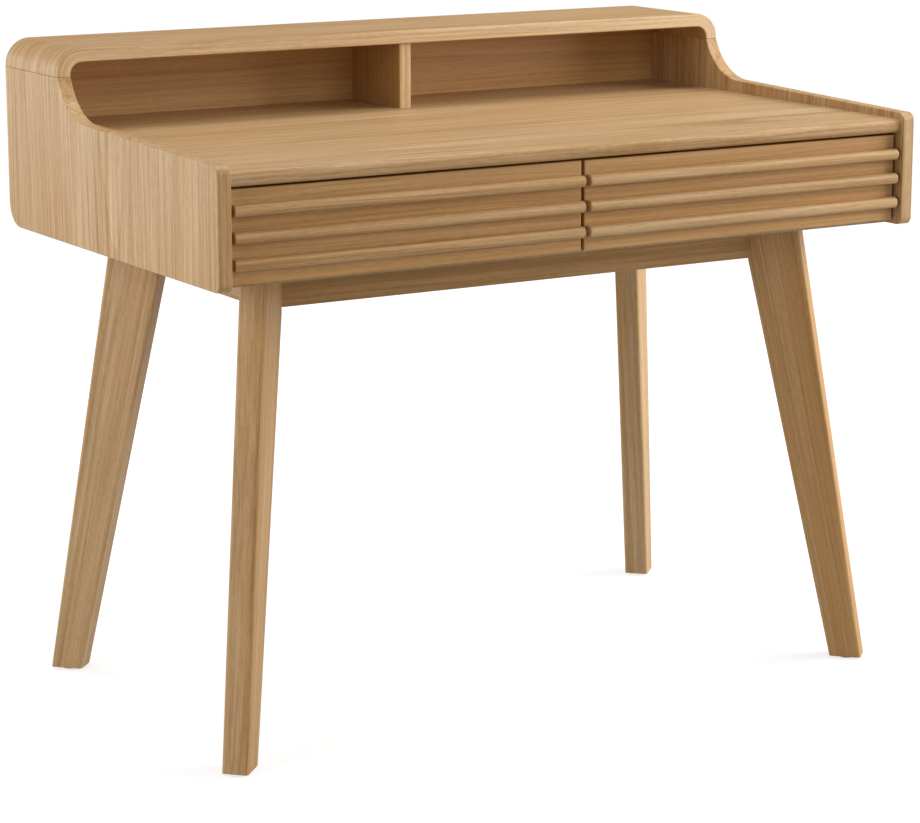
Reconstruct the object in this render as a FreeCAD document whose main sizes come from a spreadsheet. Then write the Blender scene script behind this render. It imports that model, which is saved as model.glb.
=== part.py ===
import FreeCAD, Part
import math
import os
import re
import Sketcher

# A small writing desk: a drawer case between two tall side panels, a bent hutch top over two
# cubbies, and a base of splayed board legs that stand on the diagonals.
# Frame: origin on the floor under the middle, +X to the right, +Y to the back, +Z up. Millimetres.

SIZES = {
    # The whole desk
    "desk_width": 1016,
    "desk_depth": 610,
    "case_bottom_height": 599,
    "case_height": 139,
    "panel_thickness": 18,
    # Hutch: bent top, seam where its ends meet the side panels, divider
    "hutch_height": 105,
    "hutch_end_height": 36,
    "hutch_depth": 168,
    "bend_inner_radius": 16,
    "hutch_edge_radius": 2,
    "seam_chamfer": 0.7,
    "divider_thickness": 18,
    "divider_setback": 7,
    "divider_edge_radius": 2,
    # Side panels: rise above the work surface, sweep in front of the hutch, rounded corners
    "sweep_radius": 85,
    "sweep_foot_rise": 17,
    "front_edge_rise": 8,
    "rear_corner_radius": 32,
    "front_corner_radius": 10,
    "panel_edge_radius": 1.2,
    # Case boards
    "desktop_thickness": 18,
    "desktop_setback": 5,
    "desktop_nose_radius": 8,
    "back_thickness": 15,
    "back_setback": 16,
    "bottom_thickness": 12,
    "partition_thickness": 18,
    "corner_clearance": 0.5,
    # Drawer fronts and their slats
    "front_setback": 14,
    "front_thickness": 18,
    "front_foot_rise": 5.5,
    "front_top_gap": 3,
    "front_side_gap": 3.5,
    "front_centre_gap": 4.4,
    "front_edge_radius": 1.5,
    "front_stop_gap": 0.5,
    "slat_depth": 14,
    "slat_height": 14.3,
    "slat_pitch": 31.7,
    "slat_end_inset": 1.5,
    "slat_nose_share": 0.46,
    "slat_end_chamfer": 1,
    # Drawer boxes
    "box_lift": 7,
    "box_head_room": 22,
    "box_rear_gap": 97,
    "box_wall": 12,
    "floor_thickness": 6,
    "floor_rise": 8,
    "groove_depth": 6,
    "groove_clearance": 0.2,
    # Telescopic slides at the sides of each drawer box
    "slide_thickness": 12.7,
    "slide_height": 45,
    "slide_front_gap": 3,
    "slide_rear_gap": 7,
    "slide_wall": 1.2,
    "slide_gap": 0.4,
    # Base rails and legs
    "rail_height": 52,
    "rail_thickness": 17,
    "rail_edge_radius": 2,
    "leg_inset_side": 155,
    "leg_inset_front": 165,
    "leg_thickness": 33.5,
    "leg_top_width": 78,
    "leg_foot_width": 43,
    "leg_splay": 135,
    "leg_edge_radius": 4,
    "glide_diameter": 22,
    "glide_height": 3,
    # Corner blocks and the hardware that holds the base together
    "block_tip_gap": 2.5,
    "block_thickness": 32,
    "block_height": 40,
    "bolt_diameter": 8,
    "bolt_drop": 24,
    "bolt_leg_depth": 45,
    "bolt_stick_out": 3,
    "nut_height": 6.5,
    "nut_across_flats": 13,
    "bore_clearance": 0.3,
    "bore_end_room": 1,
    "screw_diameter": 4,
    "screw_head_diameter": 8,
    "screw_head_height": 2.5,
    "base_screw_bite": 8,
    "base_screw_spread": 16,
    "front_screw_bite": 11,
    "front_screw_inset": 60,
    "front_screw_edge": 20,
    # How far a cutting shape runs past the piece that it cuts
    "overrun": 1,
}

# Counts and turns
QUARTER_TURN = 90
NUT_SIDES = 6
# Two coordinates closer than this are the same place
SAME_PLACE = 0.001

# Places and sizes that several pieces share, as sums of the sizes above
INNER_X = "(desk_width / 2 - panel_thickness)"
FRONT_Y = "(0 - desk_depth / 2)"
REAR_Y = "(desk_depth / 2)"
WORK_SURFACE = "(case_bottom_height + case_height)"
HUTCH_TOP = "(%s + hutch_height)" % WORK_SURFACE
SEAM = "(%s - hutch_end_height)" % HUTCH_TOP
BACK_FACE_Y = "(%s - back_setback - back_thickness)" % REAR_Y
DESKTOP_UNDER = "(%s - desktop_thickness)" % WORK_SURFACE
BOTTOM_TOP = "(case_bottom_height + bottom_thickness)"
FRONT_FACE_Y = "(%s + front_setback)" % FRONT_Y
FRONT_BACK_Y = "(%s + front_thickness)" % FRONT_FACE_Y
CASE_FRONT_Y = "(%s + front_stop_gap)" % FRONT_BACK_Y
FRONT_Z = "(case_bottom_height + front_foot_rise)"
FRONT_HEIGHT = "(%s - front_top_gap - %s)" % (DESKTOP_UNDER, FRONT_Z)
BOX_Z = "(%s + box_lift)" % BOTTOM_TOP
BOX_HEIGHT = "(%s - box_head_room - %s)" % (DESKTOP_UNDER, BOX_Z)
BOX_LENGTH = "(%s - box_rear_gap - %s)" % (BACK_FACE_Y, FRONT_BACK_Y)
BOX_NEAR_X = "(partition_thickness / 2 + slide_thickness)"
BOX_FAR_X = "(%s - slide_thickness)" % INNER_X
SLIDE_Z = "(%s + %s / 2)" % (BOX_Z, BOX_HEIGHT)
SLIDE_LENGTH = "(%s - slide_front_gap - slide_rear_gap)" % BOX_LENGTH
TIP_X = "(desk_width / 2 - leg_inset_side)"
TIP_Y = "(desk_depth / 2 - leg_inset_front)"
RAIL_X = "(%s + leg_thickness / sqrt(2))" % TIP_X
RAIL_Y = "(%s + leg_thickness / sqrt(2))" % TIP_Y
RAIL_Z = "(case_bottom_height - rail_height)"
BOLT_Z = "(case_bottom_height - bolt_drop)"
FOOT_REACH = "((leg_splay + leg_foot_width / 2) / sqrt(2))"
BLOCK_NEAR = "(leg_thickness - rail_thickness * sqrt(2) + block_tip_gap)"
BLOCK_FAR = "(%s + block_thickness)" % BLOCK_NEAR
BLOCK_MIDDLE = "(%s + block_thickness / 2)" % BLOCK_NEAR
SCREW_BORE = "(screw_diameter + 2 * bore_clearance)"
BOLT_BORE = "(bolt_diameter + 2 * bore_clearance)"
FRONT_SCREW_LOW = "(%s + front_screw_edge - %s)" % (BOX_Z, FRONT_Z)
FRONT_SCREW_HIGH = "(%s + %s - front_screw_edge - %s)" % (BOX_Z, BOX_HEIGHT, FRONT_Z)

# The four corners of the base: name, side signs in X and Y, turn of a leg that points outwards
CORNERS = (
    ("rear_right", 1, 1, QUARTER_TURN / 2),
    ("rear_left", -1, 1, QUARTER_TURN / 2 + QUARTER_TURN),
    ("front_left", -1, -1, QUARTER_TURN / 2 + 2 * QUARTER_TURN),
    ("front_right", 1, -1, QUARTER_TURN / 2 + 3 * QUARTER_TURN),
)
UP = FreeCAD.Vector(0, 0, 1)

doc = FreeCAD.newDocument("writing_desk")
sheet = doc.addObject("Spreadsheet::Sheet", "Sizes")
pieces = []


def fill_sheet():
    """Writes every driving size into the sheet under its own name."""
    for row, (name, size) in enumerate(SIZES.items(), 1):
        sheet.set("A%d" % row, name)
        sheet.set("B%d" % row, str(size))
        sheet.setAlias("B%d" % row, name)
    doc.recompute()


def bind(text):
    """An expression on the sheet's cells, from a sum of size names."""
    def cell(word):
        name = word.group()
        return "Sizes." + name if name in SIZES else name

    return re.sub(r"[a-z_]+", cell, text)


def value(text):
    """What a sum of size names comes to, in millimetres."""
    return float(sheet.evalExpression(bind(text)))


def signed(sign, text):
    """The sum itself on the right or rear side, its negative on the left or front side."""
    return text if sign > 0 else "(0 - %s)" % text


def keep(piece, name):
    """Counts an object as a finished piece of the desk under its own name."""
    piece.Label = name
    pieces.append(piece)
    return piece


def place(piece, spot, turn=FreeCAD.Rotation()):
    """Turns a piece about the origin and binds its place."""
    piece.Placement = FreeCAD.Placement(FreeCAD.Vector(), turn)
    for axis, text in zip("xyz", spot):
        piece.setExpression("Placement.Base." + axis, bind(text))
    return piece


def box(name, size, corner):
    """A square-edged block from its three sizes and its lowest corner."""
    block = doc.addObject("Part::Box", name)
    for side, text in zip(("Length", "Width", "Height"), size):
        block.setExpression(side, bind(text))
    return place(block, corner)


def rod(name, diameter, length):
    """A round bar that stands on the origin."""
    bar = doc.addObject("Part::Cylinder", name)
    bar.setExpression("Radius", bind(diameter + " / 2"))
    bar.setExpression("Height", bind(length))
    return bar


def cut(name, base, tool):
    """A base solid with a tool solid taken out of it."""
    result = doc.addObject("Part::Cut", name)
    result.Base = base
    result.Tool = tool
    return result


def group(name, solids):
    """Identical small pieces that share one name."""
    bundle = doc.addObject("Part::Compound", name)
    bundle.Links = solids
    return keep(bundle, name)


def new_body(name):
    """An empty body for one finished piece."""
    return keep(doc.addObject("PartDesign::Body", name), name)


def new_sketch(body, name, plane):
    """An empty sketch on one of the body's own origin planes."""
    sketch = body.newObject("Sketcher::SketchObject", name)
    support = next(feature for feature in body.Origin.OriginFeatures if feature.Role == plane)
    sketch.AttachmentSupport = [(support, "")]
    sketch.MapMode = "FlatFace"
    return sketch


def pin(sketch, geometry, end, spot):
    """Holds one end of a line or the middle of a circle at a bound place."""
    for kind, axis, text in (("DistanceX", -2, spot[0]), ("DistanceY", -1, spot[1])):
        if text == "0":
            sketch.addConstraint(Sketcher.Constraint("PointOnObject", geometry, end, axis))
            continue
        held = sketch.addConstraint(Sketcher.Constraint(kind, -1, 1, geometry, end, value(text)))
        sketch.setExpression("Constraints[%d]" % held, bind(text))


def polygon(body, name, plane, corners):
    """A closed outline of straight sides through bound corners."""
    sketch = new_sketch(body, name, plane)
    points = [FreeCAD.Vector(value(x), value(y), 0) for x, y in corners]
    count = len(points)
    for side in range(count):
        sketch.addGeometry(Part.LineSegment(points[side], points[(side + 1) % count]), False)
    for side in range(count):
        sketch.addConstraint(Sketcher.Constraint("Coincident", side, 2, (side + 1) % count, 1))
        pin(sketch, side, 1, corners[side])
    return sketch


def circles(body, name, plane, diameter, centres):
    """Round holes of one diameter at bound centres."""
    sketch = new_sketch(body, name, plane)
    radius = value(diameter) / 2
    for number, (x, y) in enumerate(centres):
        centre = FreeCAD.Vector(value(x), value(y), 0)
        sketch.addGeometry(Part.Circle(centre, UP, radius), False)
        pin(sketch, number, 3, (x, y))
        held = sketch.addConstraint(Sketcher.Constraint("Diameter", number, value(diameter)))
        sketch.setExpression("Constraints[%d]" % held, bind(diameter))
    return sketch


def pad(body, sketch, length, midplane=False):
    """Raises a sketch into a solid."""
    raised = body.newObject("PartDesign::Pad", body.Name + "_pad")
    raised.Profile = sketch
    raised.Midplane = midplane
    raised.setExpression("Length", bind(length))
    doc.recompute()
    return raised


def pocket(body, sketch, length=None):
    """Cuts a sketch into the body along the sketch's own normal, right through or to a bound depth."""
    before = body.Shape.Volume
    hollow = body.newObject("PartDesign::Pocket", body.Name + "_pocket")
    hollow.Profile = sketch
    hollow.Reversed = True
    if length is None:
        hollow.Type = "ThroughAll"
    else:
        hollow.setExpression("Length", bind(length))
    doc.recompute()
    if body.Shape.Volume >= before:
        raise RuntimeError("the cut in %s takes nothing away" % body.Label)
    return hollow


def round_edges(body, feature, radius, wanted):
    """Rounds the edges of a body's last feature that pass a test."""
    names = ["Edge%d" % number for number, edge in enumerate(feature.Shape.Edges, 1) if wanted(edge)]
    if not names:
        raise RuntimeError("no edge of %s is rounded" % body.Label)
    rounded = body.newObject("PartDesign::Fillet", body.Name + "_round")
    rounded.Base = (feature, names)
    rounded.setExpression("Radius", bind(radius))
    doc.recompute()
    return rounded


def chamfer_edges(body, feature, size, wanted):
    """Breaks the edges of a body's last feature that pass a test."""
    names = ["Edge%d" % number for number, edge in enumerate(feature.Shape.Edges, 1) if wanted(edge)]
    if not names:
        raise RuntimeError("no edge of %s is broken" % body.Label)
    broken = body.newObject("PartDesign::Chamfer", body.Name + "_chamfer")
    broken.Base = (feature, names)
    broken.setExpression("Size", bind(size))
    doc.recompute()
    return broken


def near(first, second):
    """Whether two coordinates are the same place."""
    return abs(first - second) < SAME_PLACE


def runs_along(edge, axis):
    """Whether an edge is straight and parallel to one axis."""
    spans = {"x": edge.BoundBox.XLength, "y": edge.BoundBox.YLength, "z": edge.BoundBox.ZLength}
    return all(span < SAME_PLACE for name, span in spans.items() if name != axis)


def lies_level(edge, height):
    """Whether an edge lies in one level plane."""
    return near(edge.BoundBox.ZMin, height) and near(edge.BoundBox.ZMax, height)


def at_board_front(axis):
    """A test for the edges on a board's front that run along one axis."""
    return lambda edge: runs_along(edge, axis) and near(edge.BoundBox.YMin, 0)


def under_board(axis):
    """A test for the edges under a board that run along one axis."""
    return lambda edge: runs_along(edge, axis) and lies_level(edge, 0)


def plank(name, size, corner, *edge_work):
    """A board from its sizes and its lowest corner, its edges then rounded or broken in turn."""
    body = new_body(name)
    length, depth, height = size
    corners = (("0", "0"), (length, "0"), (length, depth), ("0", depth))
    board = pad(body, polygon(body, name + "_outline", "XY_Plane", corners), height)
    for finish, amount, wanted in edge_work:
        board = finish(body, board, amount, wanted)
    return place(body, corner)


def panel_outline(body):
    """The outline of a side: straight back, seam under the hutch, hollow sweep, falling front edge."""
    sketch = new_sketch(body, body.Name + "_outline", "YZ_Plane")
    foot_rise = WORK_SURFACE + " + sweep_foot_rise"
    line_starts = (
        (FRONT_Y, "case_bottom_height"),
        (REAR_Y, "case_bottom_height"),
        (REAR_Y, SEAM),
    )
    sweep_top = (REAR_Y + " - hutch_depth", SEAM)
    front_top = (FRONT_Y, WORK_SURFACE + " + front_edge_rise")
    radius = value("sweep_radius")
    drop = value("%s - (%s)" % (SEAM, foot_rise)) - radius
    reach = math.sqrt(radius ** 2 - drop ** 2)
    points = [FreeCAD.Vector(value(y), value(z), 0) for y, z in line_starts + (sweep_top, front_top)]
    middle = FreeCAD.Vector(points[3].x - reach, value(foot_rise) + radius, 0)
    foot = FreeCAD.Vector(middle.x, value(foot_rise), 0)
    for start, end in zip(points[:3], points[1:4]):
        sketch.addGeometry(Part.LineSegment(start, end), False)
    sweep = Part.ArcOfCircle(Part.Circle(middle, UP, radius), -math.pi / 2, math.atan2(drop, reach))
    arc = sketch.addGeometry(sweep, False)
    low_edge = sketch.addGeometry(Part.LineSegment(foot, points[4]), False)
    front_edge = sketch.addGeometry(Part.LineSegment(points[4], points[0]), False)
    for first, second in ((0, 1), (1, 2), (low_edge, front_edge), (front_edge, 0)):
        sketch.addConstraint(Sketcher.Constraint("Coincident", first, 2, second, 1))
    sketch.addConstraint(Sketcher.Constraint("Coincident", 2, 2, arc, 2))
    sketch.addConstraint(Sketcher.Constraint("Tangent", arc, 1, low_edge, 1))
    for number, spot in enumerate(line_starts):
        pin(sketch, number, 1, spot)
    pin(sketch, 2, 2, sweep_top)
    pin(sketch, front_edge, 1, front_top)
    held = sketch.addConstraint(Sketcher.Constraint("Radius", arc, radius))
    sketch.setExpression("Constraints[%d]" % held, bind("sweep_radius"))
    held = sketch.addConstraint(Sketcher.Constraint("DistanceY", -1, 1, low_edge, 1, foot.y))
    sketch.setExpression("Constraints[%d]" % held, bind(foot_rise))
    return sketch


def side_panel(name, sign):
    """A tall side with rounded corners and edges, square at the seam."""
    body = new_body(name)
    blank = pad(body, panel_outline(body), "panel_thickness", midplane=True)
    rear = value(REAR_Y)
    front = value(FRONT_Y)
    bottom = value("case_bottom_height")
    seam = value(SEAM)

    def at_front(edge):
        return runs_along(edge, "x") and near(edge.BoundBox.YMin, front)

    def at_rear_foot(edge):
        return runs_along(edge, "x") and near(edge.BoundBox.YMin, rear) and near(edge.BoundBox.ZMin, bottom)

    def on_a_face(edge):
        return edge.BoundBox.XLength < SAME_PLACE and not lies_level(edge, seam)

    blank = round_edges(body, blank, "front_corner_radius", at_front)
    blank = round_edges(body, blank, "rear_corner_radius", at_rear_foot)
    blank = round_edges(body, blank, "panel_edge_radius", on_a_face)
    chamfer_edges(body, blank, "seam_chamfer", lambda edge: lies_level(edge, seam))
    place(body, (signed(sign, "(desk_width / 2 - panel_thickness / 2)"), "0", "0"))


def hutch_top():
    """The bent top: one board whose rounded ends turn down to the seams on the side panels."""
    body = new_body("hutch_top")
    outer = "desk_width / 2"
    under = HUTCH_TOP + " - panel_thickness"
    corners = (
        (signed(-1, outer), SEAM),
        (signed(-1, INNER_X), SEAM),
        (signed(-1, INNER_X), under),
        (INNER_X, under),
        (INNER_X, SEAM),
        (outer, SEAM),
        (outer, HUTCH_TOP),
        (signed(-1, outer), HUTCH_TOP),
    )
    sketch = polygon(body, "hutch_outline", "XZ_Plane", corners)
    blank = pad(body, sketch, "hutch_depth", midplane=True)
    seam = value(SEAM)
    top = value(HUTCH_TOP)

    def outer_bend(edge):
        return runs_along(edge, "y") and near(edge.BoundBox.ZMin, top)

    def inner_bend(edge):
        return runs_along(edge, "y") and near(edge.BoundBox.ZMin, value(under))

    def front_or_rear(edge):
        return edge.BoundBox.YLength < SAME_PLACE and not lies_level(edge, seam)

    blank = round_edges(body, blank, "bend_inner_radius + panel_thickness", outer_bend)
    blank = round_edges(body, blank, "bend_inner_radius", inner_bend)
    blank = round_edges(body, blank, "hutch_edge_radius", front_or_rear)
    chamfer_edges(body, blank, "seam_chamfer", lambda edge: lies_level(edge, seam))
    place(body, ("0", REAR_Y + " - hutch_depth / 2", "0"))


def back_panel():
    """The back: closes the case and the cubbies, its top corners rounded to the bends."""
    body = new_body("back_panel")
    top = HUTCH_TOP + " - panel_thickness"
    corners = (
        (signed(-1, INNER_X), "case_bottom_height"),
        (INNER_X, "case_bottom_height"),
        (INNER_X, top),
        (signed(-1, INNER_X), top),
    )
    sketch = polygon(body, "back_outline", "XZ_Plane", corners)
    blank = pad(body, sketch, "back_thickness", midplane=True)

    def at_bend(edge):
        return runs_along(edge, "y") and near(edge.BoundBox.ZMin, value(top))

    round_edges(body, blank, "bend_inner_radius + corner_clearance", at_bend)
    place(body, ("0", BACK_FACE_Y + " + back_thickness / 2", "0"))


def case():
    """The boards between the side panels."""
    side_panel("left_side_panel", -1)
    side_panel("right_side_panel", 1)
    hutch_top()
    back_panel()
    inner_width = "2 * " + INNER_X
    desk_front = FRONT_Y + " + desktop_setback"
    plank(
        "desktop",
        (inner_width, "(%s - (%s))" % (BACK_FACE_Y, desk_front), "desktop_thickness"),
        (signed(-1, INNER_X), desk_front, DESKTOP_UNDER),
        (round_edges, "desktop_nose_radius", at_board_front("x")),
    )
    divider_front = REAR_Y + " - hutch_depth + divider_setback"
    plank(
        "hutch_divider",
        (
            "divider_thickness",
            "(%s - (%s))" % (BACK_FACE_Y, divider_front),
            "(hutch_height - panel_thickness)",
        ),
        ("0 - divider_thickness / 2", divider_front, WORK_SURFACE),
        (round_edges, "divider_edge_radius", at_board_front("z")),
    )
    depth = "(%s - %s)" % (BACK_FACE_Y, CASE_FRONT_Y)
    partition_height = "(%s - %s)" % (DESKTOP_UNDER, BOTTOM_TOP)
    bottom = box(
        "bottom_board",
        (inner_width, depth, "bottom_thickness"),
        (signed(-1, INNER_X), CASE_FRONT_Y, "case_bottom_height"),
    )
    keep(cut("bottom_panel", bottom, screw_bores()), "bottom_panel")
    partition = box(
        "drawer_partition",
        ("partition_thickness", depth, partition_height),
        ("0 - partition_thickness / 2", CASE_FRONT_Y, BOTTOM_TOP),
    )
    keep(partition, "drawer_partition")


def base_screw_places():
    """Where the screws through the corner blocks meet the case, two at each corner."""
    corner = "(%s - rail_thickness)"
    middle = "(%s / sqrt(2))" % BLOCK_MIDDLE
    spread = "(base_screw_spread / sqrt(2))"
    places = []
    for name, side, end, turn in CORNERS:
        for sign in (1, -1):
            inward_x = "(%s - %s + %s)" % (corner % RAIL_X, middle, signed(sign, spread))
            inward_y = "(%s - %s - %s)" % (corner % RAIL_Y, middle, signed(sign, spread))
            places.append((signed(side, inward_x), signed(end, inward_y)))
    return places


def screw_bores():
    """Blind holes in the case bottom for the base screws."""
    holes = []
    for number, (x, y) in enumerate(base_screw_places(), 1):
        depth = "base_screw_bite + bore_end_room"
        hole = rod("bottom_bore_%d" % number, SCREW_BORE, depth)
        holes.append(place(hole, (x, y, "case_bottom_height")))
    bores = doc.addObject("Part::Compound", "bottom_bores")
    bores.Links = holes
    return bores


def screw(name, grip):
    """A round-headed wood screw that stands point up, its head's foot on the origin."""
    head = rod(name + "_head", "screw_head_diameter", "screw_head_height")
    shank = rod(name + "_shank", "screw_diameter", "screw_head_height + " + grip)
    whole = doc.addObject("Part::Fuse", name)
    whole.Base = head
    whole.Tool = shank
    return whole


def leg(name, side, end, turn):
    """A splayed board leg on the diagonal, its inner end cut to two flats that take the rails."""
    body = new_body(name)
    foot_outer = "leg_splay + leg_foot_width"
    corners = (
        ("0", "case_bottom_height"),
        ("leg_splay", "glide_height"),
        (foot_outer, "glide_height"),
        ("leg_top_width", "case_bottom_height"),
    )
    sketch = polygon(body, name + "_profile", "XZ_Plane", corners)
    blank = pad(body, sketch, "leg_thickness", midplane=True)

    half_height = value("case_bottom_height / 2")

    def long_edge(edge):
        return edge.BoundBox.YLength < SAME_PLACE and edge.BoundBox.ZLength > half_height

    round_edges(body, blank, "leg_edge_radius", long_edge)
    wing = "leg_thickness / 2 + overrun"
    flats = (
        ("0", "0"),
        (wing, wing),
        ("0 - overrun", wing),
        ("0 - overrun", "0 - (%s)" % wing),
        (wing, "0 - (%s)" % wing),
    )
    pocket(body, polygon(body, name + "_flats", "XY_Plane", flats))
    bore = circles(body, name + "_bore", "YZ_Plane", BOLT_BORE, [("0", BOLT_Z)])
    pocket(body, bore, "bolt_leg_depth + bore_end_room")
    place(body, (signed(side, TIP_X), signed(end, TIP_Y), "0"), FreeCAD.Rotation(UP, turn))


def corner_block(name, side, end, turn):
    """A block across the inner corner of two rails, bored for the leg bolt and the base screws."""
    body = new_body(name)
    corners = (
        (BLOCK_NEAR, signed(-1, BLOCK_NEAR)),
        (BLOCK_FAR, signed(-1, BLOCK_FAR)),
        (BLOCK_FAR, BLOCK_FAR),
        (BLOCK_NEAR, BLOCK_NEAR),
    )
    sketch = polygon(body, name + "_outline", "XY_Plane", corners)
    pad(body, sketch, "block_height")
    bolt_height = "(block_height - bolt_drop)"
    bore = circles(body, name + "_bore", "YZ_Plane", BOLT_BORE, [("0", bolt_height)])
    pocket(body, bore)
    ends = [(BLOCK_MIDDLE, "base_screw_spread"), (BLOCK_MIDDLE, "0 - base_screw_spread")]
    bores = circles(body, name + "_screw_bores", "XY_Plane", SCREW_BORE, ends)
    pocket(body, bores)
    spot = (
        signed(side, "(%s - rail_thickness)" % RAIL_X),
        signed(end, "(%s - rail_thickness)" % RAIL_Y),
        "case_bottom_height - block_height",
    )
    place(body, spot, FreeCAD.Rotation(UP, turn + 2 * QUARTER_TURN))


def span(sign, near_side, far_side):
    """The low end of a piece that lies between two distances from the middle, on one side."""
    return near_side if sign > 0 else signed(-1, far_side)


def rails():
    """The four rails of the base, square-ended between the flats of the legs, eased below."""
    for name, end in (("front_rail", -1), ("rear_rail", 1)):
        low_y = span(end, "(%s - rail_thickness)" % RAIL_Y, RAIL_Y)
        size = ("2 * " + TIP_X, "rail_thickness", "rail_height")
        easing = (round_edges, "rail_edge_radius", under_board("x"))
        plank(name, size, (signed(-1, TIP_X), low_y, RAIL_Z), easing)
    for name, side in (("left_rail", -1), ("right_rail", 1)):
        low_x = span(side, "(%s - rail_thickness)" % RAIL_X, RAIL_X)
        size = ("rail_thickness", "2 * " + TIP_Y, "rail_height")
        easing = (round_edges, "rail_edge_radius", under_board("y"))
        plank(name, size, (low_x, signed(-1, TIP_Y), RAIL_Z), easing)


def inside_tip(side, end, reach):
    """A place on a corner's diagonal, inside the leg's tip by a reach, at the height of the bolt."""
    return (
        signed(side, "(%s - %s / sqrt(2))" % (TIP_X, reach)),
        signed(end, "(%s - %s / sqrt(2))" % (TIP_Y, reach)),
        BOLT_Z,
    )


def leg_nut(name):
    """A hexagon nut that stands on the origin."""
    blank = doc.addObject("Part::Prism", name + "_blank")
    blank.Polygon = NUT_SIDES
    blank.setExpression("Circumradius", bind("nut_across_flats / sqrt(3)"))
    blank.setExpression("Height", bind("nut_height"))
    hole = rod(name + "_bore", BOLT_BORE, "nut_height + 2 * overrun")
    place(hole, ("0", "0", "0 - overrun"))
    return cut(name, blank, hole)


def base():
    """Legs, rails, corner blocks, glides, bolts, nuts and screws."""
    rails()
    nut_reach = "(block_tip_gap + block_thickness + nut_height)"
    bolt_reach = "(%s + bolt_stick_out)" % nut_reach
    bolts, nuts, glides = [], [], []
    for name, side, end, turn in CORNERS:
        leg(name + "_leg", side, end, turn)
        corner_block(name + "_corner_block", side, end, turn)
        foot_x = signed(side, "(%s + %s)" % (TIP_X, FOOT_REACH))
        foot_y = signed(end, "(%s + %s)" % (TIP_Y, FOOT_REACH))
        glide = rod(name + "_glide", "glide_diameter", "glide_height")
        glides.append(place(glide, (foot_x, foot_y, "0")))
        outwards = FreeCAD.Rotation(UP, FreeCAD.Vector(side, end, 0))
        bolt = rod(name + "_bolt", "bolt_diameter", "bolt_leg_depth + " + bolt_reach)
        bolts.append(place(bolt, inside_tip(side, end, bolt_reach), outwards))
        nuts.append(place(leg_nut(name + "_nut"), inside_tip(side, end, nut_reach), outwards))
    group("foot_glides", glides)
    group("leg_hanger_bolts", bolts)
    group("leg_bolt_nuts", nuts)
    screws = []
    for number, (x, y) in enumerate(base_screw_places(), 1):
        whole = screw("base_screw_%d" % number, "block_height + base_screw_bite")
        screws.append(place(whole, (x, y, "case_bottom_height - block_height - screw_head_height")))
    group("base_screws", screws)


def drawer_front(name, sign):
    """The inset front board with its three slats, which are also the grips."""
    near_x = "(front_centre_gap / 2)"
    far_x = "(%s - front_side_gap)" % INNER_X
    width = "(%s - %s)" % (far_x, near_x)
    body = new_body(name + "_front")
    corners = (("0", "0"), (width, "0"), (width, FRONT_HEIGHT), ("0", FRONT_HEIGHT))
    sketch = polygon(body, name + "_front_outline", "XZ_Plane", corners)
    board = pad(body, sketch, "front_thickness")
    face_y = value("front_thickness")

    def on_front(edge):
        return edge.BoundBox.YLength < SAME_PLACE and near(edge.BoundBox.YMin, -face_y)

    board = round_edges(body, board, "front_edge_radius", on_front)
    holes = [
        ("front_screw_inset", FRONT_SCREW_LOW),
        ("front_screw_inset", FRONT_SCREW_HIGH),
        (width + " - front_screw_inset", FRONT_SCREW_LOW),
        (width + " - front_screw_inset", FRONT_SCREW_HIGH),
    ]
    bores = circles(body, name + "_front_bores", "XZ_Plane", SCREW_BORE, holes)
    pocket(body, bores, "front_screw_bite + bore_end_room")
    low_x = span(sign, near_x, far_x)
    place(body, (low_x, FRONT_BACK_Y, FRONT_Z))
    for number, level in enumerate(("lower", "middle", "upper")):
        slat(name + "_" + level + "_slat", sign, near_x, far_x, number - 1)
    places = [("(%s + %s)" % (low_x, x), "(%s + %s)" % (FRONT_Z, z)) for x, z in holes]
    return places


def slat(name, sign, near_x, far_x, step):
    """One horizontal slat with a rounded nose, glued on the drawer front."""
    start_x = "(%s + slat_end_inset)" % near_x
    stop_x = "(%s - slat_end_inset)" % far_x
    length = "(%s - %s)" % (stop_x, start_x)
    low_z = "(%s + %s / 2 - slat_height / 2 + %d * slat_pitch)" % (FRONT_Z, FRONT_HEIGHT, step)
    rear = value("slat_depth")

    def at_end(edge):
        return edge.BoundBox.XLength < SAME_PLACE and not near(edge.BoundBox.YMin, rear)

    plank(
        name,
        (length, "slat_depth", "slat_height"),
        (span(sign, start_x, stop_x), FRONT_FACE_Y + " - slat_depth", low_z),
        (round_edges, "slat_height * slat_nose_share", at_board_front("x")),
        (chamfer_edges, "slat_end_chamfer", at_end),
    )


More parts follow.
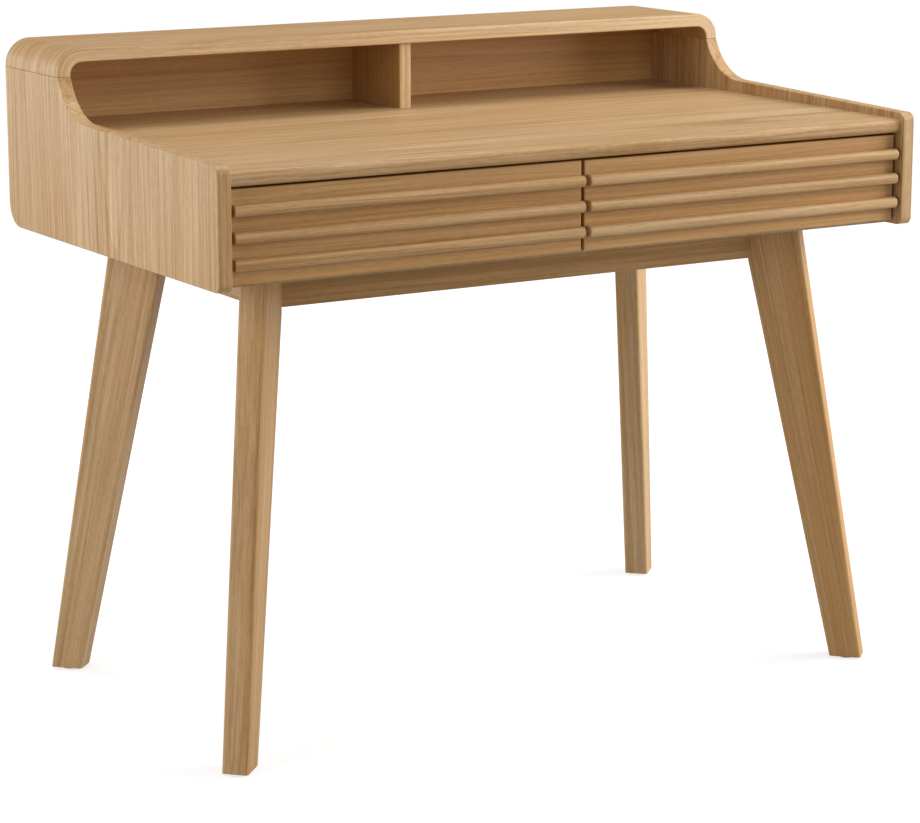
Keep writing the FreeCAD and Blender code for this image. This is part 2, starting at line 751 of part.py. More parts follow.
def drawer_box(name, sign, screw_places):
    """The open box behind a front: two grooved sides, grooved front and back, and a thin floor."""
    inside = "(%s - %s - 2 * box_wall)" % (BOX_FAR_X, BOX_NEAR_X)
    low_x = span(sign, BOX_NEAR_X, BOX_FAR_X)
    high_wall_x = "(%s + %s + box_wall)" % (low_x, inside)
    back_y = "(%s + %s - box_wall)" % (FRONT_BACK_Y, BOX_LENGTH)
    floor_z = "(%s + floor_rise)" % BOX_Z
    groove_height = "floor_thickness + 2 * groove_clearance"
    inner_x = "(%s + box_wall - groove_depth)" % low_x
    groove = box(
        name + "_groove",
        (
            inside + " + 2 * groove_depth",
            BOX_LENGTH + " - 2 * box_wall + 2 * groove_depth",
            groove_height,
        ),
        (inner_x, FRONT_BACK_Y + " + box_wall - groove_depth", floor_z + " - groove_clearance"),
    )
    walls = {
        "box_front": ((inside, "box_wall", BOX_HEIGHT), (low_x + " + box_wall", FRONT_BACK_Y, BOX_Z)),
        "back": ((inside, "box_wall", BOX_HEIGHT), (low_x + " + box_wall", back_y, BOX_Z)),
        "left_wall": (("box_wall", BOX_LENGTH, BOX_HEIGHT), (low_x, FRONT_BACK_Y, BOX_Z)),
        "right_wall": (("box_wall", BOX_LENGTH, BOX_HEIGHT), (high_wall_x, FRONT_BACK_Y, BOX_Z)),
    }
    for wall, (size, corner) in walls.items():
        label = name + "_" + wall
        grooved = cut(label + "_grooved", box(label + "_board", size, corner), groove)
        if wall == "box_front":
            grooved = cut(label + "_bored", grooved, front_bores(name, screw_places))
        keep(grooved, label)
    floor = box(
        name + "_floor",
        (
            inside + " + 2 * groove_depth - 2 * groove_clearance",
            BOX_LENGTH + " - 2 * box_wall + 2 * groove_depth - 2 * groove_clearance",
            "floor_thickness",
        ),
        (
            inner_x + " + groove_clearance",
            FRONT_BACK_Y + " + box_wall - groove_depth + groove_clearance",
            floor_z,
        ),
    )
    keep(floor, name + "_floor")


def front_bores(name, screw_places):
    """Through holes in the box front for the screws that hold the drawer front."""
    toward_front = FreeCAD.Rotation(UP, FreeCAD.Vector(0, -1, 0))
    holes = []
    for number, (x, z) in enumerate(screw_places, 1):
        hole = rod("%s_bore_%d" % (name, number), SCREW_BORE, "box_wall + 2 * overrun")
        holes.append(place(hole, (x, FRONT_BACK_Y + " + box_wall + overrun", z), toward_front))
    bores = doc.addObject("Part::Compound", name + "_front_holes")
    bores.Links = holes
    return bores


def front_screws(name, screw_places):
    """Screws from inside the box into the drawer front."""
    toward_front = FreeCAD.Rotation(UP, FreeCAD.Vector(0, -1, 0))
    screws = []
    for number, (x, z) in enumerate(screw_places, 1):
        whole = screw("%s_front_screw_%d" % (name, number), "box_wall + front_screw_bite")
        spot = (x, FRONT_BACK_Y + " + box_wall + screw_head_height", z)
        screws.append(place(whole, spot, toward_front))
    group(name + "_front_screws", screws)


def slides(name, sign):
    """Two telescopic slides, each of three nested channels: on the case, in between, on the drawer."""
    step = "(slide_wall + slide_gap)"
    depth = "(slide_thickness - 2 * %s)" % step
    members = (
        ("case_channel", "0", "slide_height", 1),
        ("middle_channel", step, "(slide_height - 2 * %s)" % step, 1),
        ("drawer_channel", "(2 * %s)" % step, "(slide_height - 4 * %s)" % step, -1),
    )
    places = (
        ("inner_slide", sign, "(partition_thickness / 2)"),
        ("outer_slide", -sign, INNER_X),
    )
    for slide, away, wall_x in places:
        for member, start, height, facing in members:
            label = "_".join((name, slide, member))
            channel(label, signed(sign, wall_x), away, start, depth, height, facing)


def channel(label, base_x, away, start, depth, height, facing):
    """One thin channel of a slide; its open side faces the drawer, or the case on the drawer's own."""
    low_x = "(%s + %s)" % (base_x, start) if away > 0 else "(%s - %s - %s)" % (base_x, start, depth)
    low_y = "(%s + slide_front_gap)" % FRONT_BACK_Y
    low_z = "(%s - %s / 2)" % (SLIDE_Z, height)
    shell = box(label + "_bar", (depth, SLIDE_LENGTH, height), (low_x, low_y, low_z))
    open_high = away * facing > 0
    hollow_x = "(%s + slide_wall)" % low_x if open_high else "(%s - overrun)" % low_x
    hollow = box(
        label + "_hollow",
        (
            "%s - slide_wall + overrun" % depth,
            SLIDE_LENGTH + " + 2 * overrun",
            "%s - 2 * slide_wall" % height,
        ),
        (hollow_x, low_y + " - overrun", low_z + " + slide_wall"),
    )
    keep(cut(label, shell, hollow), label)


def drawers():
    """Both drawers with their slides."""
    for name, sign in (("left_drawer", -1), ("right_drawer", 1)):
        screw_places = drawer_front(name, sign)
        drawer_box(name, sign, screw_places)
        front_screws(name, screw_places)
        slides(name, sign)


def check_and_write():
    """Stops on any failed object, then writes one file for each piece."""
    doc.recompute()
    for item in doc.Objects:
        if "Invalid" in item.State or "Error" in item.State:
            raise RuntimeError("%s failed: %s" % (item.Label, item.State))
    for piece in pieces:
        if piece.Shape.isNull() or not piece.Shape.isValid():
            raise RuntimeError("%s has no valid solid" % piece.Label)
    os.makedirs("parts", exist_ok=True)
    for piece in pieces:
        piece.Shape.exportStep("parts/%s.step" % piece.Label)
    print("%d pieces written" % len(pieces))


fill_sheet()
case()
base()
drawers()
check_and_write()
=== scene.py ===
import math

import bmesh
import bpy
from mathutils import Matrix, Vector


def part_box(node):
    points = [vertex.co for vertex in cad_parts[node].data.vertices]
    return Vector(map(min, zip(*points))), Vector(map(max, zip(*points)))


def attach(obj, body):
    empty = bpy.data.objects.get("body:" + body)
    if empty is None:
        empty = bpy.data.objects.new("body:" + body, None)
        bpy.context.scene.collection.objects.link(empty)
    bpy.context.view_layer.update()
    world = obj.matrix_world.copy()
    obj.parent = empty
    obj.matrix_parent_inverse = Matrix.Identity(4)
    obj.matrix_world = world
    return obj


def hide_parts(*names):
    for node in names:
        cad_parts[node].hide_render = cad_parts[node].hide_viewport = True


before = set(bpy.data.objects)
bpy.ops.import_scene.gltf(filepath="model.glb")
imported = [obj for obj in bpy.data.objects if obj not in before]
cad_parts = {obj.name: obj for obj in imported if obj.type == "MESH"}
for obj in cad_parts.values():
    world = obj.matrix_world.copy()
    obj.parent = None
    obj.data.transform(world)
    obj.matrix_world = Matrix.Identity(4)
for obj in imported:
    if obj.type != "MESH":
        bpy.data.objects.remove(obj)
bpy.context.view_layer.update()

bl_info = {
    "name": "Slatted writing desk",
    "version": (1, 0, 0),
    "blender": (4, 5, 0),
    "location": "View3D > Sidebar > Desk",
    "description": "Finishes the boards, hardware and studio of an oak desk with slatted drawers",
    "category": "Object",
}

AXES = {"X": Vector((1, 0, 0)), "Y": Vector((0, 1, 0)), "Z": Vector((0, 0, 1))}
DRAWERS = ("left_drawer", "right_drawer")
CORNERS = ("front_left", "front_right", "rear_left", "rear_right")
SLATS = ("lower_slat", "middle_slat", "upper_slat")
BOX_WALLS = {"box_front": "Y", "back": "Y", "left_wall": "X", "right_wall": "X", "floor": "Z"}
SLIDES = ("inner_slide", "outer_slide")
SLIDE_CHANNELS = ("case_channel", "middle_channel", "drawer_channel")
CASE_BOARDS = ("left_side_panel", "right_side_panel", "hutch_divider", "desktop", "back_panel")
RAILS = ("front_rail", "rear_rail", "left_rail", "right_rail")
HIDDEN_BOARDS = {"bottom_panel": "Z", "drawer_partition": "X"}

# How a board lies in its log: the heart's place across and below the board's middle, in metres,
# and the slope of the heart along the board.
CUTS = {
    "crown": (0.02, 0.11, 0.035),
    "rift": (0.16, 0.13, 0.012),
    "inner": (0.03, 0.09, 0.02),
}
# How far the heart moves across and below from one board to the next, and after how many boards
# each move starts again.
HEART_STEPS = ((0.013, 5), (0.009, 7))

# Each straight oak board: the grain's axis, the axis square to the show face, the cut, and how far
# the board is darker and warmer than the palest ones. The tones are partly the wood's own and partly
# painted light: the front rail and the hutch divider are darker as painted shade, the back panel is
# paler to make up for its shade, and the boards that stand in shade are warmer as painted shade.
STRAIGHT_BOARDS = {
    "left_side_panel": ("Z", "X", "crown", 0.0, 0.0),
    "right_side_panel": ("Z", "X", "crown", 0.02, 0.05),
    "hutch_divider": ("Z", "X", "rift", 0.4, 0.8),
    "desktop": ("X", "Z", "rift", 0.0, 0.0),
    "back_panel": ("X", "Y", "rift", -0.5, 0.9),
    "front_rail": ("X", "Y", "rift", 0.35, 0.7),
    "rear_rail": ("X", "Y", "rift", 0.2, 0.4),
    "left_rail": ("Y", "X", "rift", 0.05, 0.2),
    "right_rail": ("Y", "X", "rift", 0.05, 0.2),
    "left_drawer_front": ("X", "Y", "rift", -0.1, 0.8),
    "right_drawer_front": ("X", "Y", "rift", -0.12, 0.8),
}
# The same two values for the bent hutch top, each leg, and the slats from the left drawer's lowest
# to the right drawer's highest. The slice keeps the hutch top's figure apart from the boards'. The
# legs' values are partly painted light: the rear legs are paler to make up for their shade.
HUTCH_TONE = (0.15, 0.0)
HUTCH_SLICE = 3
LEG_TONES_AND_PAINTED_LIGHT = {
    "front_left": (-0.12, 0.45),
    "front_right": (-0.22, 0.65),
    "rear_left": (-0.35, 0.2),
    "rear_right": (-0.4, 0.2),
}
SLAT_TONES = ((0.0, 0.25), (-0.08, 0.2), (0.02, 0.3), (-0.04, 0.2), (0.02, 0.25), (-0.1, 0.3))
# How far a board's front- and rear-looking faces are darker and warmer than the board: partly the
# lipping's own tone and partly painted light, as the hutch top's and divider's paler front and rear
# faces are a painted highlight and the side panels' warmer edges painted shade.
LIPPINGS_AND_PAINTED_LIGHT = {
    "left_side_panel": (0.05, 0.45),
    "right_side_panel": (0.05, 0.3),
    "hutch_divider": (-0.7, -0.7),
    "hutch_top": (-0.7, 0.0),
}
# How far a face has to look to the front or rear before it takes the lipping and its painted light,
# from not to fully.
LIPPING_FACES = (0.6, 0.9)

# The layers of the oak's tone: clouds a metre along, across and through the board, the clouds'
# detail, and how far the layer swings the tone to either side.
OAK_LAYERS = {
    "fibre": ((6, 460, 460), 3, 0.90),
    "streak": ((1.8, 110, 110), 3, 0.85),
    "band": ((0.7, 24, 24), 1, 0.28),
    "fleck": ((70, 420, 420), 1, 0.34),
}

# How strongly each finish's relief shows, and how deep it is, in metres.
RELIEFS = {
    "oak": (0.25, 0.0003),
    "inner_wood": (0.3, 0.0003),
    "ply": (0.2, 0.0002),
    "steel": (0.12, 0.0001),
    "nylon": (0.2, 0.0002),
}

# The leg bolts' thread: its profile as shares of its depth and pitch, and the steps of one turn.
THREAD_PROFILE = ((0, 0), (0, 1 / 8), (1, 1 / 2), (1, 5 / 8), (0, 1))
THREAD_STEPS = 20
# Where the slide screws stand, as shares of a channel's length.
SLIDE_SCREW_RUNS = (0.06, 0.34, 0.62, 0.90)

# Points nearer than this are one point, and levels nearer than this are one level.
SAME_PLACE = 1e-6
# Faces that meet at less than this are shaded as one surface.
SMOOTH_ANGLE = math.radians(35)

# Each studio lamp: its place and its width. They all point at one spot of the desk.
LAMPS = {
    "left": ((-2.4, -0.3, 1.0), 1.8),
    "rim": ((-2.0, 2.2, 1.0), 1.2),
    "right": ((2.45, -1.0, 1.5), 2.2),
    "top": ((0.0, 0.3, 3.0), 2.0),
    "front": ((0.3, -2.8, 1.8), 1.8),
    "back": ((-0.6, 2.8, 1.2), 1.8),
}
LAMP_AIM = Vector((0, 0, 0.6))
# The floor's glow: the distances at which it starts and stops to rise, and its strength at each.
FLOOR_GLOW = (0.9, 2.6, 0.76, 1.0)


def colour(label, use, default):
    """A colour that a user may change."""
    return bpy.props.FloatVectorProperty(
        name=label, description=use, default=default, subtype="COLOR", size=4, min=0, max=1
    )


def length(label, use, default):
    """A length, in metres, that a user may change."""
    return bpy.props.FloatProperty(
        name=label, description=use, default=default, min=0, unit="LENGTH", precision=5
    )


def share(label, use, default):
    """A share from nothing to all that a user may change."""
    return bpy.props.FloatProperty(
        name=label, description=use, default=default, min=0, max=1, subtype="FACTOR"
    )


def power(label, use, default):
    """A lamp's power, in watts, that a user may change."""
    return bpy.props.FloatProperty(name=label, description=use, default=default, min=0, unit="POWER")


class DeskWood(bpy.types.PropertyGroup):
    """Colours and figure of the desk's woods."""

    light_oak: colour("Light oak", "Late wood between the rings", (0.595, 0.408, 0.220, 1))
    dark_oak: colour("Dark oak", "Early wood and the dark streaks", (0.382, 0.202, 0.064, 1))
    blush_oak: colour("Blush oak", "Warm drifts in the oak", (0.530, 0.285, 0.097, 1))
    pore: colour("Pores", "The open pores of the early wood", (0.200, 0.105, 0.040, 1))
    # The colour that the rounded edges are lightened towards: a painted highlight.
    rubbed_oak: colour("Rubbed edge", "Oak along its rounded edges", (0.640, 0.440, 0.240, 1))
    light_ply: colour("Light ply", "Pale layers of the drawer boxes", (0.540, 0.405, 0.255, 1))
    dark_ply: colour("Dark ply", "Crossed layers of the drawer boxes", (0.390, 0.262, 0.145, 1))
    light_inner: colour("Light inner wood", "Hidden boards and blocks", (0.550, 0.385, 0.210, 1))
    dark_inner: colour("Dark inner wood", "Streaks of the hidden wood", (0.420, 0.270, 0.130, 1))
    ring_width: length("Ring width", "One year's growth in the oak", 0.0065)
    ply_thickness: length("Ply thickness", "One layer of the drawer-box board", 0.0015)
    roughness: share("Roughness", "Satin lacquer on the oak", 0.48)
    inner_roughness: share("Inner roughness", "Bare hidden wood", 0.62)
    gloss: share("Gloss", "Strength of the lacquer's reflections", 0.35)
    edge_width: length("Edge width", "How far the rubbed edges reach", 0.002)
    # How much the rounded edges are lightened: a painted highlight.
    edge_highlight_share: share("Edge lift", "How much the rubbed edges lighten", 0.12)
    edge_polish: share("Edge polish", "How much smoother the rubbed edges are", 0.06)
    bend_above_seam: length("Bend above seam", "Straight part of the hutch top's ends", 0.002)


class DeskHardware(bpy.types.PropertyGroup):
    """Colours and sizes of the desk's metal and nylon pieces."""

    zinc: colour("Zinc", "Plated slides", (0.620, 0.640, 0.660, 1))
    zinc_roughness: share("Zinc roughness", "Rolled and plated slides", 0.34)
    fastener: colour("Fastener", "Plated screws, bolts and nuts", (0.560, 0.555, 0.540, 1))
    fastener_roughness: share("Fastener roughness", "Plated screws, bolts and nuts", 0.30)
    dull_plating: colour("Dull plating", "Cloudy spots in the plating", (0.36, 0.37, 0.38, 1))
    nylon: colour("Nylon", "Moulded foot glides", (0.620, 0.590, 0.520, 1))
    scuffed_nylon: colour("Scuffed nylon", "Scuffs on the foot glides", (0.30, 0.27, 0.23, 1))
    screw_head_height: length("Screw head height", "Height of the wood screws' heads", 0.0025)
    screw_shank: length("Screw shank", "Width of the wood screws' shanks", 0.004)
    recess_taper: share("Recess taper", "Recess floor, as a share of its mouth", 0.45)
    tip_width: share("Tip width", "Screw tip, as a share of the shank's width", 0.12)
    recess_reach: share("Recess reach", "Cross recess, as a share of the head's width", 0.56)
    recess_width: share("Recess width", "One arm of the recess, as a share of its reach", 0.26)
    recess_depth: share("Recess depth", "Recess, as a share of the head's height", 0.70)
    head_dome: share("Head dome", "Rounded part of a screw head's height", 0.72)
    point_share: share("Point", "Pointed part of a screw's shank", 0.22)
    thread_pitch: length("Thread pitch", "One turn of the leg bolts' thread", 0.00125)
    thread_depth: length("Thread depth", "Crest to root of the leg bolts' thread", 0.0007)
    nut_height: length("Nut height", "Height of the leg bolts' nuts", 0.0065)
    nut_flange: length("Nut flange", "How far a nut's flange stands out", 0.002)
    nut_flange_height: length("Flange height", "Thickness of a nut's flange", 0.0014)
    nut_chamfer: length("Nut chamfer", "Chamfer on a nut's corners", 0.0011)
    glide_bevel: length("Glide bevel", "Rounded rim of a foot glide", 0.001)
    glide_dimple: length("Glide dimple", "Depth of a foot glide's nail hole", 0.0008)
    glide_rim: share("Glide rim", "Width round the nail hole, as a share of the glide", 0.3)
    slide_wall: length("Slide wall", "Thickness of the slides' steel", 0.0012)
    slide_screw_width: length("Slide screw width", "Width of the slide screws' shanks", 0.0035)
    slide_screw_head: length("Slide screw head", "Width of the heads in the slides", 0.007)
    slide_screw_height: length("Slide screw height", "Height of the heads in the slides", 0.0018)
    slide_screw_shank: length("Slide screw shank", "Length of the slide screws", 0.009)


class DeskStudio(bpy.types.PropertyGroup):
    """Light, floor and camera of the plain studio."""

    ambient: share("Ambient", "Even light from all round", 0.05)
    mirrored: share("Mirrored studio", "White of the studio in the desk's reflections", 0.3)
    left_power: power("Left lamp", "Soft lamp beside the left end", 30)
    rim_power: power("Rim lamp", "Soft lamp at the left rear", 24)
    right_power: power("Right lamp", "Soft lamp at the right front", 100)
    top_power: power("Top lamp", "Soft lamp overhead", 40)
    front_power: power("Front lamp", "Soft lamp before the desk", 20)
    back_power: power("Back lamp", "Soft lamp behind the desk", 15)
    floor: colour("Floor", "Plain pale floor", (0.42, 0.42, 0.42, 1))
    floor_shade: colour("Floor shade", "Part of the seen floor that darkens", (0.34, 0.34, 0.34, 1))
    floor_roughness: share("Floor roughness", "Matt face of the floor", 0.9)
    floor_radius: length("Floor radius", "How far the floor reaches", 30)
    focal_length: bpy.props.FloatProperty(
        name="Focal length", description="Lens of the camera", default=118.5, unit="CAMERA"
    )
    camera_place: bpy.props.FloatVectorProperty(
        name="Camera place",
        description="Where the camera stands",
        default=(-2.0387, -3.3766, 1.2149),
        subtype="TRANSLATION",
        unit="LENGTH",
    )
    camera_turn: bpy.props.FloatProperty(
        name="Camera turn",
        description="Turn to the right of straight ahead",
        default=math.radians(31.108),
        subtype="ANGLE",
        unit="ROTATION",
    )
    camera_dip: bpy.props.FloatProperty(
        name="Camera dip",
        description="Tilt below the level",
        default=math.radians(12.413),
        subtype="ANGLE",
        unit="ROTATION",
    )


class NodeSheet:
    """Adds the nodes of one shader tree and joins them by their sockets."""

    def __init__(self, tree):
        self.tree = tree

    def node(self, kind, **settings):
        """A new node, with its settings."""
        made = self.tree.nodes.new("ShaderNode" + kind)
        for name, value in settings.items():
            setattr(made, name, value)
        return made

    def feed(self, socket, source):
        """Joins a socket to another, or gives it a plain value."""
        if isinstance(source, bpy.types.NodeSocket):
            self.tree.links.new(source, socket)
        else:
            socket.default_value = source

    def filled(self, made, terms):
        """Feeds a node's sockets in order."""
        for socket, term in zip(made.inputs, terms):
            self.feed(socket, term)
        return made

    def math(self, operation, *terms, clamp=False):
        """The result of a sum on values."""
        made = self.node("Math", operation=operation, use_clamp=clamp)
        return self.filled(made, terms).outputs[0]

    def vector(self, operation, *terms):
        """The vector that a sum on vectors gives."""
        made = self.node("VectorMath", operation=operation)
        return self.filled(made, terms).outputs["Vector"]

    def dot(self, first, second):
        """How far two directions agree."""
        made = self.node("VectorMath", operation="DOT_PRODUCT")
        return self.filled(made, (first, second)).outputs["Value"]

    def split(self, point):
        """The three values of a vector."""
        return self.filled(self.node("SeparateXYZ"), (point,)).outputs

    def joined(self, *values):
        """A vector of three values."""
        return self.filled(self.node("CombineXYZ"), values).outputs[0]

    def ramp(self, value, low, high, start=0.0, end=1.0):
        """A soft step between two values."""
        made = self.node("MapRange", interpolation_type="SMOOTHSTEP")
        return self.filled(made, (value, low, high, start, end)).outputs[0]

    def blend(self, factor, first, second, clamp=True):
        """A mix of two colours, which may reach past them where it isn't clamped."""
        made = self.node("Mix", data_type="RGBA", clamp_factor=clamp)
        self.feed(made.inputs["Factor"], factor)
        colours = [socket for socket in made.inputs if socket.type == "RGBA"]
        self.feed(colours[0], first)
        self.feed(colours[1], second)
        return [socket for socket in made.outputs if socket.type == "RGBA"][0]

    def noise(self, point, stretch, detail=2.0):
        """Cloudy noise, with its number of clouds a metre along each axis."""
        made = self.node("TexNoise")
        self.feed(made.inputs["Vector"], self.vector("MULTIPLY", point, stretch))
        made.inputs["Scale"].default_value = 1
        made.inputs["Detail"].default_value = detail
        return made.outputs["Fac"]

    def cells(self, point, stretch):
        """Distance to the middles of scattered cells, with the cells a metre along each axis."""
        made = self.node("TexVoronoi")
        self.feed(made.inputs["Vector"], self.vector("MULTIPLY", point, stretch))
        made.inputs["Scale"].default_value = 1
        return made.outputs["Distance"]

    def around(self, value, reach):
        """A noise value turned into a swing of that reach to either side."""
        centred = self.math("SUBTRACT", value, 0.5)
        return self.math("MULTIPLY", centred, 2 * reach)


def new_group(name, inputs, outputs):
    """An empty shader group: its tree, a sheet to build on, and its own inputs and outputs."""
    tree = bpy.data.node_groups.new(name, "ShaderNodeTree")
    for label, kind in inputs.items():
        tree.interface.new_socket(name=label, in_out="INPUT", socket_type="NodeSocket" + kind)
    for label, kind in outputs.items():
        tree.interface.new_socket(name=label, in_out="OUTPUT", socket_type="NodeSocket" + kind)
    given = tree.nodes.new("NodeGroupInput").outputs
    result = tree.nodes.new("NodeGroupOutput").inputs
    return tree, NodeSheet(tree), given, result


def shared_group(name, build):
    """A shader group that is built once and then found again."""
    return bpy.data.node_groups.get(name) or build(name)


def build_oak_figure(name):
    """Growth rings round a log's heart, fibres, soft bands and open pores."""
    tree, sheet, given, result = new_group(
        name,
        {
            "Point": "Vector",
            "Slice": "Float",
            "Heart Across": "Float",
            "Heart Below": "Float",
            "Lean": "Float",
            "Ring Width": "Float",
            "Tone": "Float",
            "Warmth": "Float",
            "Roughness": "Float",
            "Light": "Color",
            "Dark": "Color",
            "Blush": "Color",
            "Pore": "Color",
        },
        {"Color": "Color", "Roughness": "Float", "Height": "Float"},
    )
    slice_step = 3.1
    wander_reach = 0.012
    ripple_reach = 0.0012
    early_falloff = 2.5
    least_year = 0.15
    ring_reach = 0.60
    middle_tone = 0.36
    palest_tone = -0.45
    darkest_tone = 1.1
    most_drift = 0.38
    pore_colour_share = 0.28
    pore_dryness = 0.18
    fibre_dryness = 0.07
    pore_relief = -0.8
    fibre_relief = 0.3
    ring_relief = -0.15

    along, across, through = sheet.split(given["Point"])
    apart = sheet.joined(sheet.math("MULTIPLY", given["Slice"], slice_step), given["Slice"], 0.0)
    apart = sheet.vector("ADD", given["Point"], apart)
    wander = sheet.around(sheet.noise(apart, (1.4, 9, 9), 1), wander_reach)
    point = sheet.vector("ADD", apart, sheet.joined(0.0, wander, 0.0))
    ripple = sheet.around(sheet.noise(point, (8, 70, 70)), ripple_reach)
    sideways = sheet.math("ADD", sheet.math("ADD", across, given["Heart Across"]), wander)
    leaning = sheet.math("MULTIPLY", along, given["Lean"])
    depth = sheet.math("ADD", sheet.math("ADD", through, given["Heart Below"]), leaning)
    square = sheet.math("ADD", sheet.math("POWER", sideways, 2.0), sheet.math("POWER", depth, 2.0))
    radius = sheet.math("ADD", sheet.math("SQRT", square), ripple)
    rings = sheet.math("DIVIDE", radius, given["Ring Width"])
    early = sheet.math("SUBTRACT", 1.0, sheet.math("FRACT", rings))
    early = sheet.math("POWER", early, early_falloff)
    year = sheet.node("TexWhiteNoise", noise_dimensions="1D")
    sheet.feed(year.inputs["W"], sheet.math("FLOOR", rings))
    vigour = sheet.math("MULTIPLY_ADD", year.outputs["Value"], 1 - least_year, least_year)
    ring = sheet.math("MULTIPLY", early, vigour)
    tone = sheet.math("MULTIPLY_ADD", ring, ring_reach, given["Tone"])
    layers = {}
    for layer, (stretch, detail, reach) in OAK_LAYERS.items():
        layers[layer] = sheet.noise(point, stretch, detail)
        tone = sheet.math("ADD", tone, sheet.around(layers[layer], reach))
    fibre = layers["fibre"]
    tone = sheet.math("MAXIMUM", sheet.math("ADD", tone, middle_tone), palest_tone)
    tone = sheet.math("MINIMUM", tone, darkest_tone)
    dashes = sheet.ramp(sheet.cells(point, (75, 800, 800)), 0.34, 0.16)
    pores = sheet.math("MULTIPLY", dashes, sheet.ramp(early, 0.1, 0.6, 0.25, 1.0))
    drift = sheet.ramp(sheet.noise(point, (1.5, 34, 34), 2), 0.40, 0.66, 0.0, most_drift)
    warmth = sheet.math("ADD", drift, given["Warmth"], clamp=True)
    late = sheet.blend(warmth, given["Light"], given["Blush"])
    wood = sheet.blend(tone, late, given["Dark"], clamp=False)
    shown = sheet.math("MULTIPLY", pores, pore_colour_share)
    sheet.feed(result["Color"], sheet.blend(shown, wood, given["Pore"]))
    dry = sheet.math("MULTIPLY_ADD", pores, pore_dryness, given["Roughness"])
    sheet.feed(result["Roughness"], sheet.math("ADD", dry, sheet.around(fibre, fibre_dryness)))
    raised = sheet.math("MULTIPLY", fibre, fibre_relief)
    raised = sheet.math("MULTIPLY_ADD", pores, pore_relief, raised)
    sheet.feed(result["Height"], sheet.math("MULTIPLY_ADD", ring, ring_relief, raised))
    return tree


def build_bent_board(name):
    """A point's place on a board that bends down at both ends, as if the board were flat."""
    tree, sheet, given, result = new_group(
        name,
        {
            "Point": "Vector",
            "Flat Reach": "Float",
            "Bend Height": "Float",
            "Bend Middle": "Float",
            "Depth Middle": "Float",
        },
        {"Point": "Vector"},
    )
    side, depth, height = sheet.split(given["Point"])
    reach = sheet.math("ABSOLUTE", side)
    over = sheet.math("MAXIMUM", sheet.math("SUBTRACT", reach, given["Flat Reach"]), 0.0)
    rise = sheet.math("MAXIMUM", sheet.math("SUBTRACT", height, given["Bend Height"]), 0.0)
    drop = sheet.math("MAXIMUM", sheet.math("SUBTRACT", given["Bend Height"], height), 0.0)
    arc = sheet.math("MULTIPLY", sheet.math("ARCTAN2", over, rise), given["Bend Middle"])
    run = sheet.math("ADD", sheet.math("MINIMUM", reach, given["Flat Reach"]), arc)
    run = sheet.math("MULTIPLY", sheet.math("ADD", run, drop), sheet.math("SIGN", side))
    square = sheet.math("ADD", sheet.math("POWER", over, 2.0), sheet.math("POWER", rise, 2.0))
    through = sheet.math("SUBTRACT", sheet.math("SQRT", square), given["Bend Middle"])
    across = sheet.math("SUBTRACT", depth, given["Depth Middle"])
    sheet.feed(result["Point"], sheet.joined(run, across, through))
    return tree


def build_rubbed_edge_highlight(name):
    """A mask that rises along a piece's rounded edges, in patches, where the finish is made smoother
    and lightened as a painted highlight.
    """
    tree, sheet, given, result = new_group(
        name, {"Point": "Vector", "Width": "Float"}, {"Edge": "Float"}
    )
    flat_agreement = 0.998
    turned_agreement = 0.90
    least_polish = 0.45

    rounded = sheet.node("Bevel", samples=4)
    sheet.feed(rounded.inputs["Radius"], given["Width"])
    true_normal = sheet.node("NewGeometry").outputs["Normal"]
    agreement = sheet.dot(rounded.outputs["Normal"], true_normal)
    turned = sheet.ramp(agreement, flat_agreement, turned_agreement)
    cloud = sheet.noise(given["Point"], (30, 30, 30))
    patches = sheet.ramp(cloud, 0.25, 0.65, least_polish, 1.0)
    sheet.feed(result["Edge"], sheet.math("MULTIPLY", turned, patches))
    return tree


def build_ply_layers(name):
    """Crossed thin layers through a board's thickness, under a pale fine-grained face."""
    tree, sheet, given, result = new_group(
        name,
        {"Point": "Vector", "Layer": "Float", "Light": "Color", "Dark": "Color"},
        {"Color": "Color", "Roughness": "Float", "Height": "Float"},
    )
    crossed_reach = 0.45
    fibre_reach = 0.35
    cloud_reach = 0.25
    middle_tone = 0.2
    least_roughness = 0.45
    fibre_dryness = 0.15
    crossed_relief = -0.3
    above_board = 1.0

    point = given["Point"]
    through = sheet.split(point)[2]
    layers = sheet.math("DIVIDE", sheet.math("ADD", through, above_board), given["Layer"])
    crossed = sheet.math("MODULO", sheet.math("FLOOR", layers), 2.0)
    fibre = sheet.noise(point, (6, 380, 380), 3)
    cloud = sheet.noise(point, (3, 14, 14), 2)
    tone = sheet.math("MULTIPLY_ADD", crossed, crossed_reach, sheet.around(fibre, fibre_reach))
    tone = sheet.math("ADD", tone, sheet.around(cloud, cloud_reach))
    tone = sheet.math("ADD", tone, middle_tone, clamp=True)
    sheet.feed(result["Color"], sheet.blend(tone, given["Light"], given["Dark"]))
    dry = sheet.math("MULTIPLY_ADD", fibre, fibre_dryness, least_roughness)
    sheet.feed(result["Roughness"], dry)
    sheet.feed(result["Height"], sheet.math("MULTIPLY_ADD", crossed, crossed_relief, fibre))
    return tree


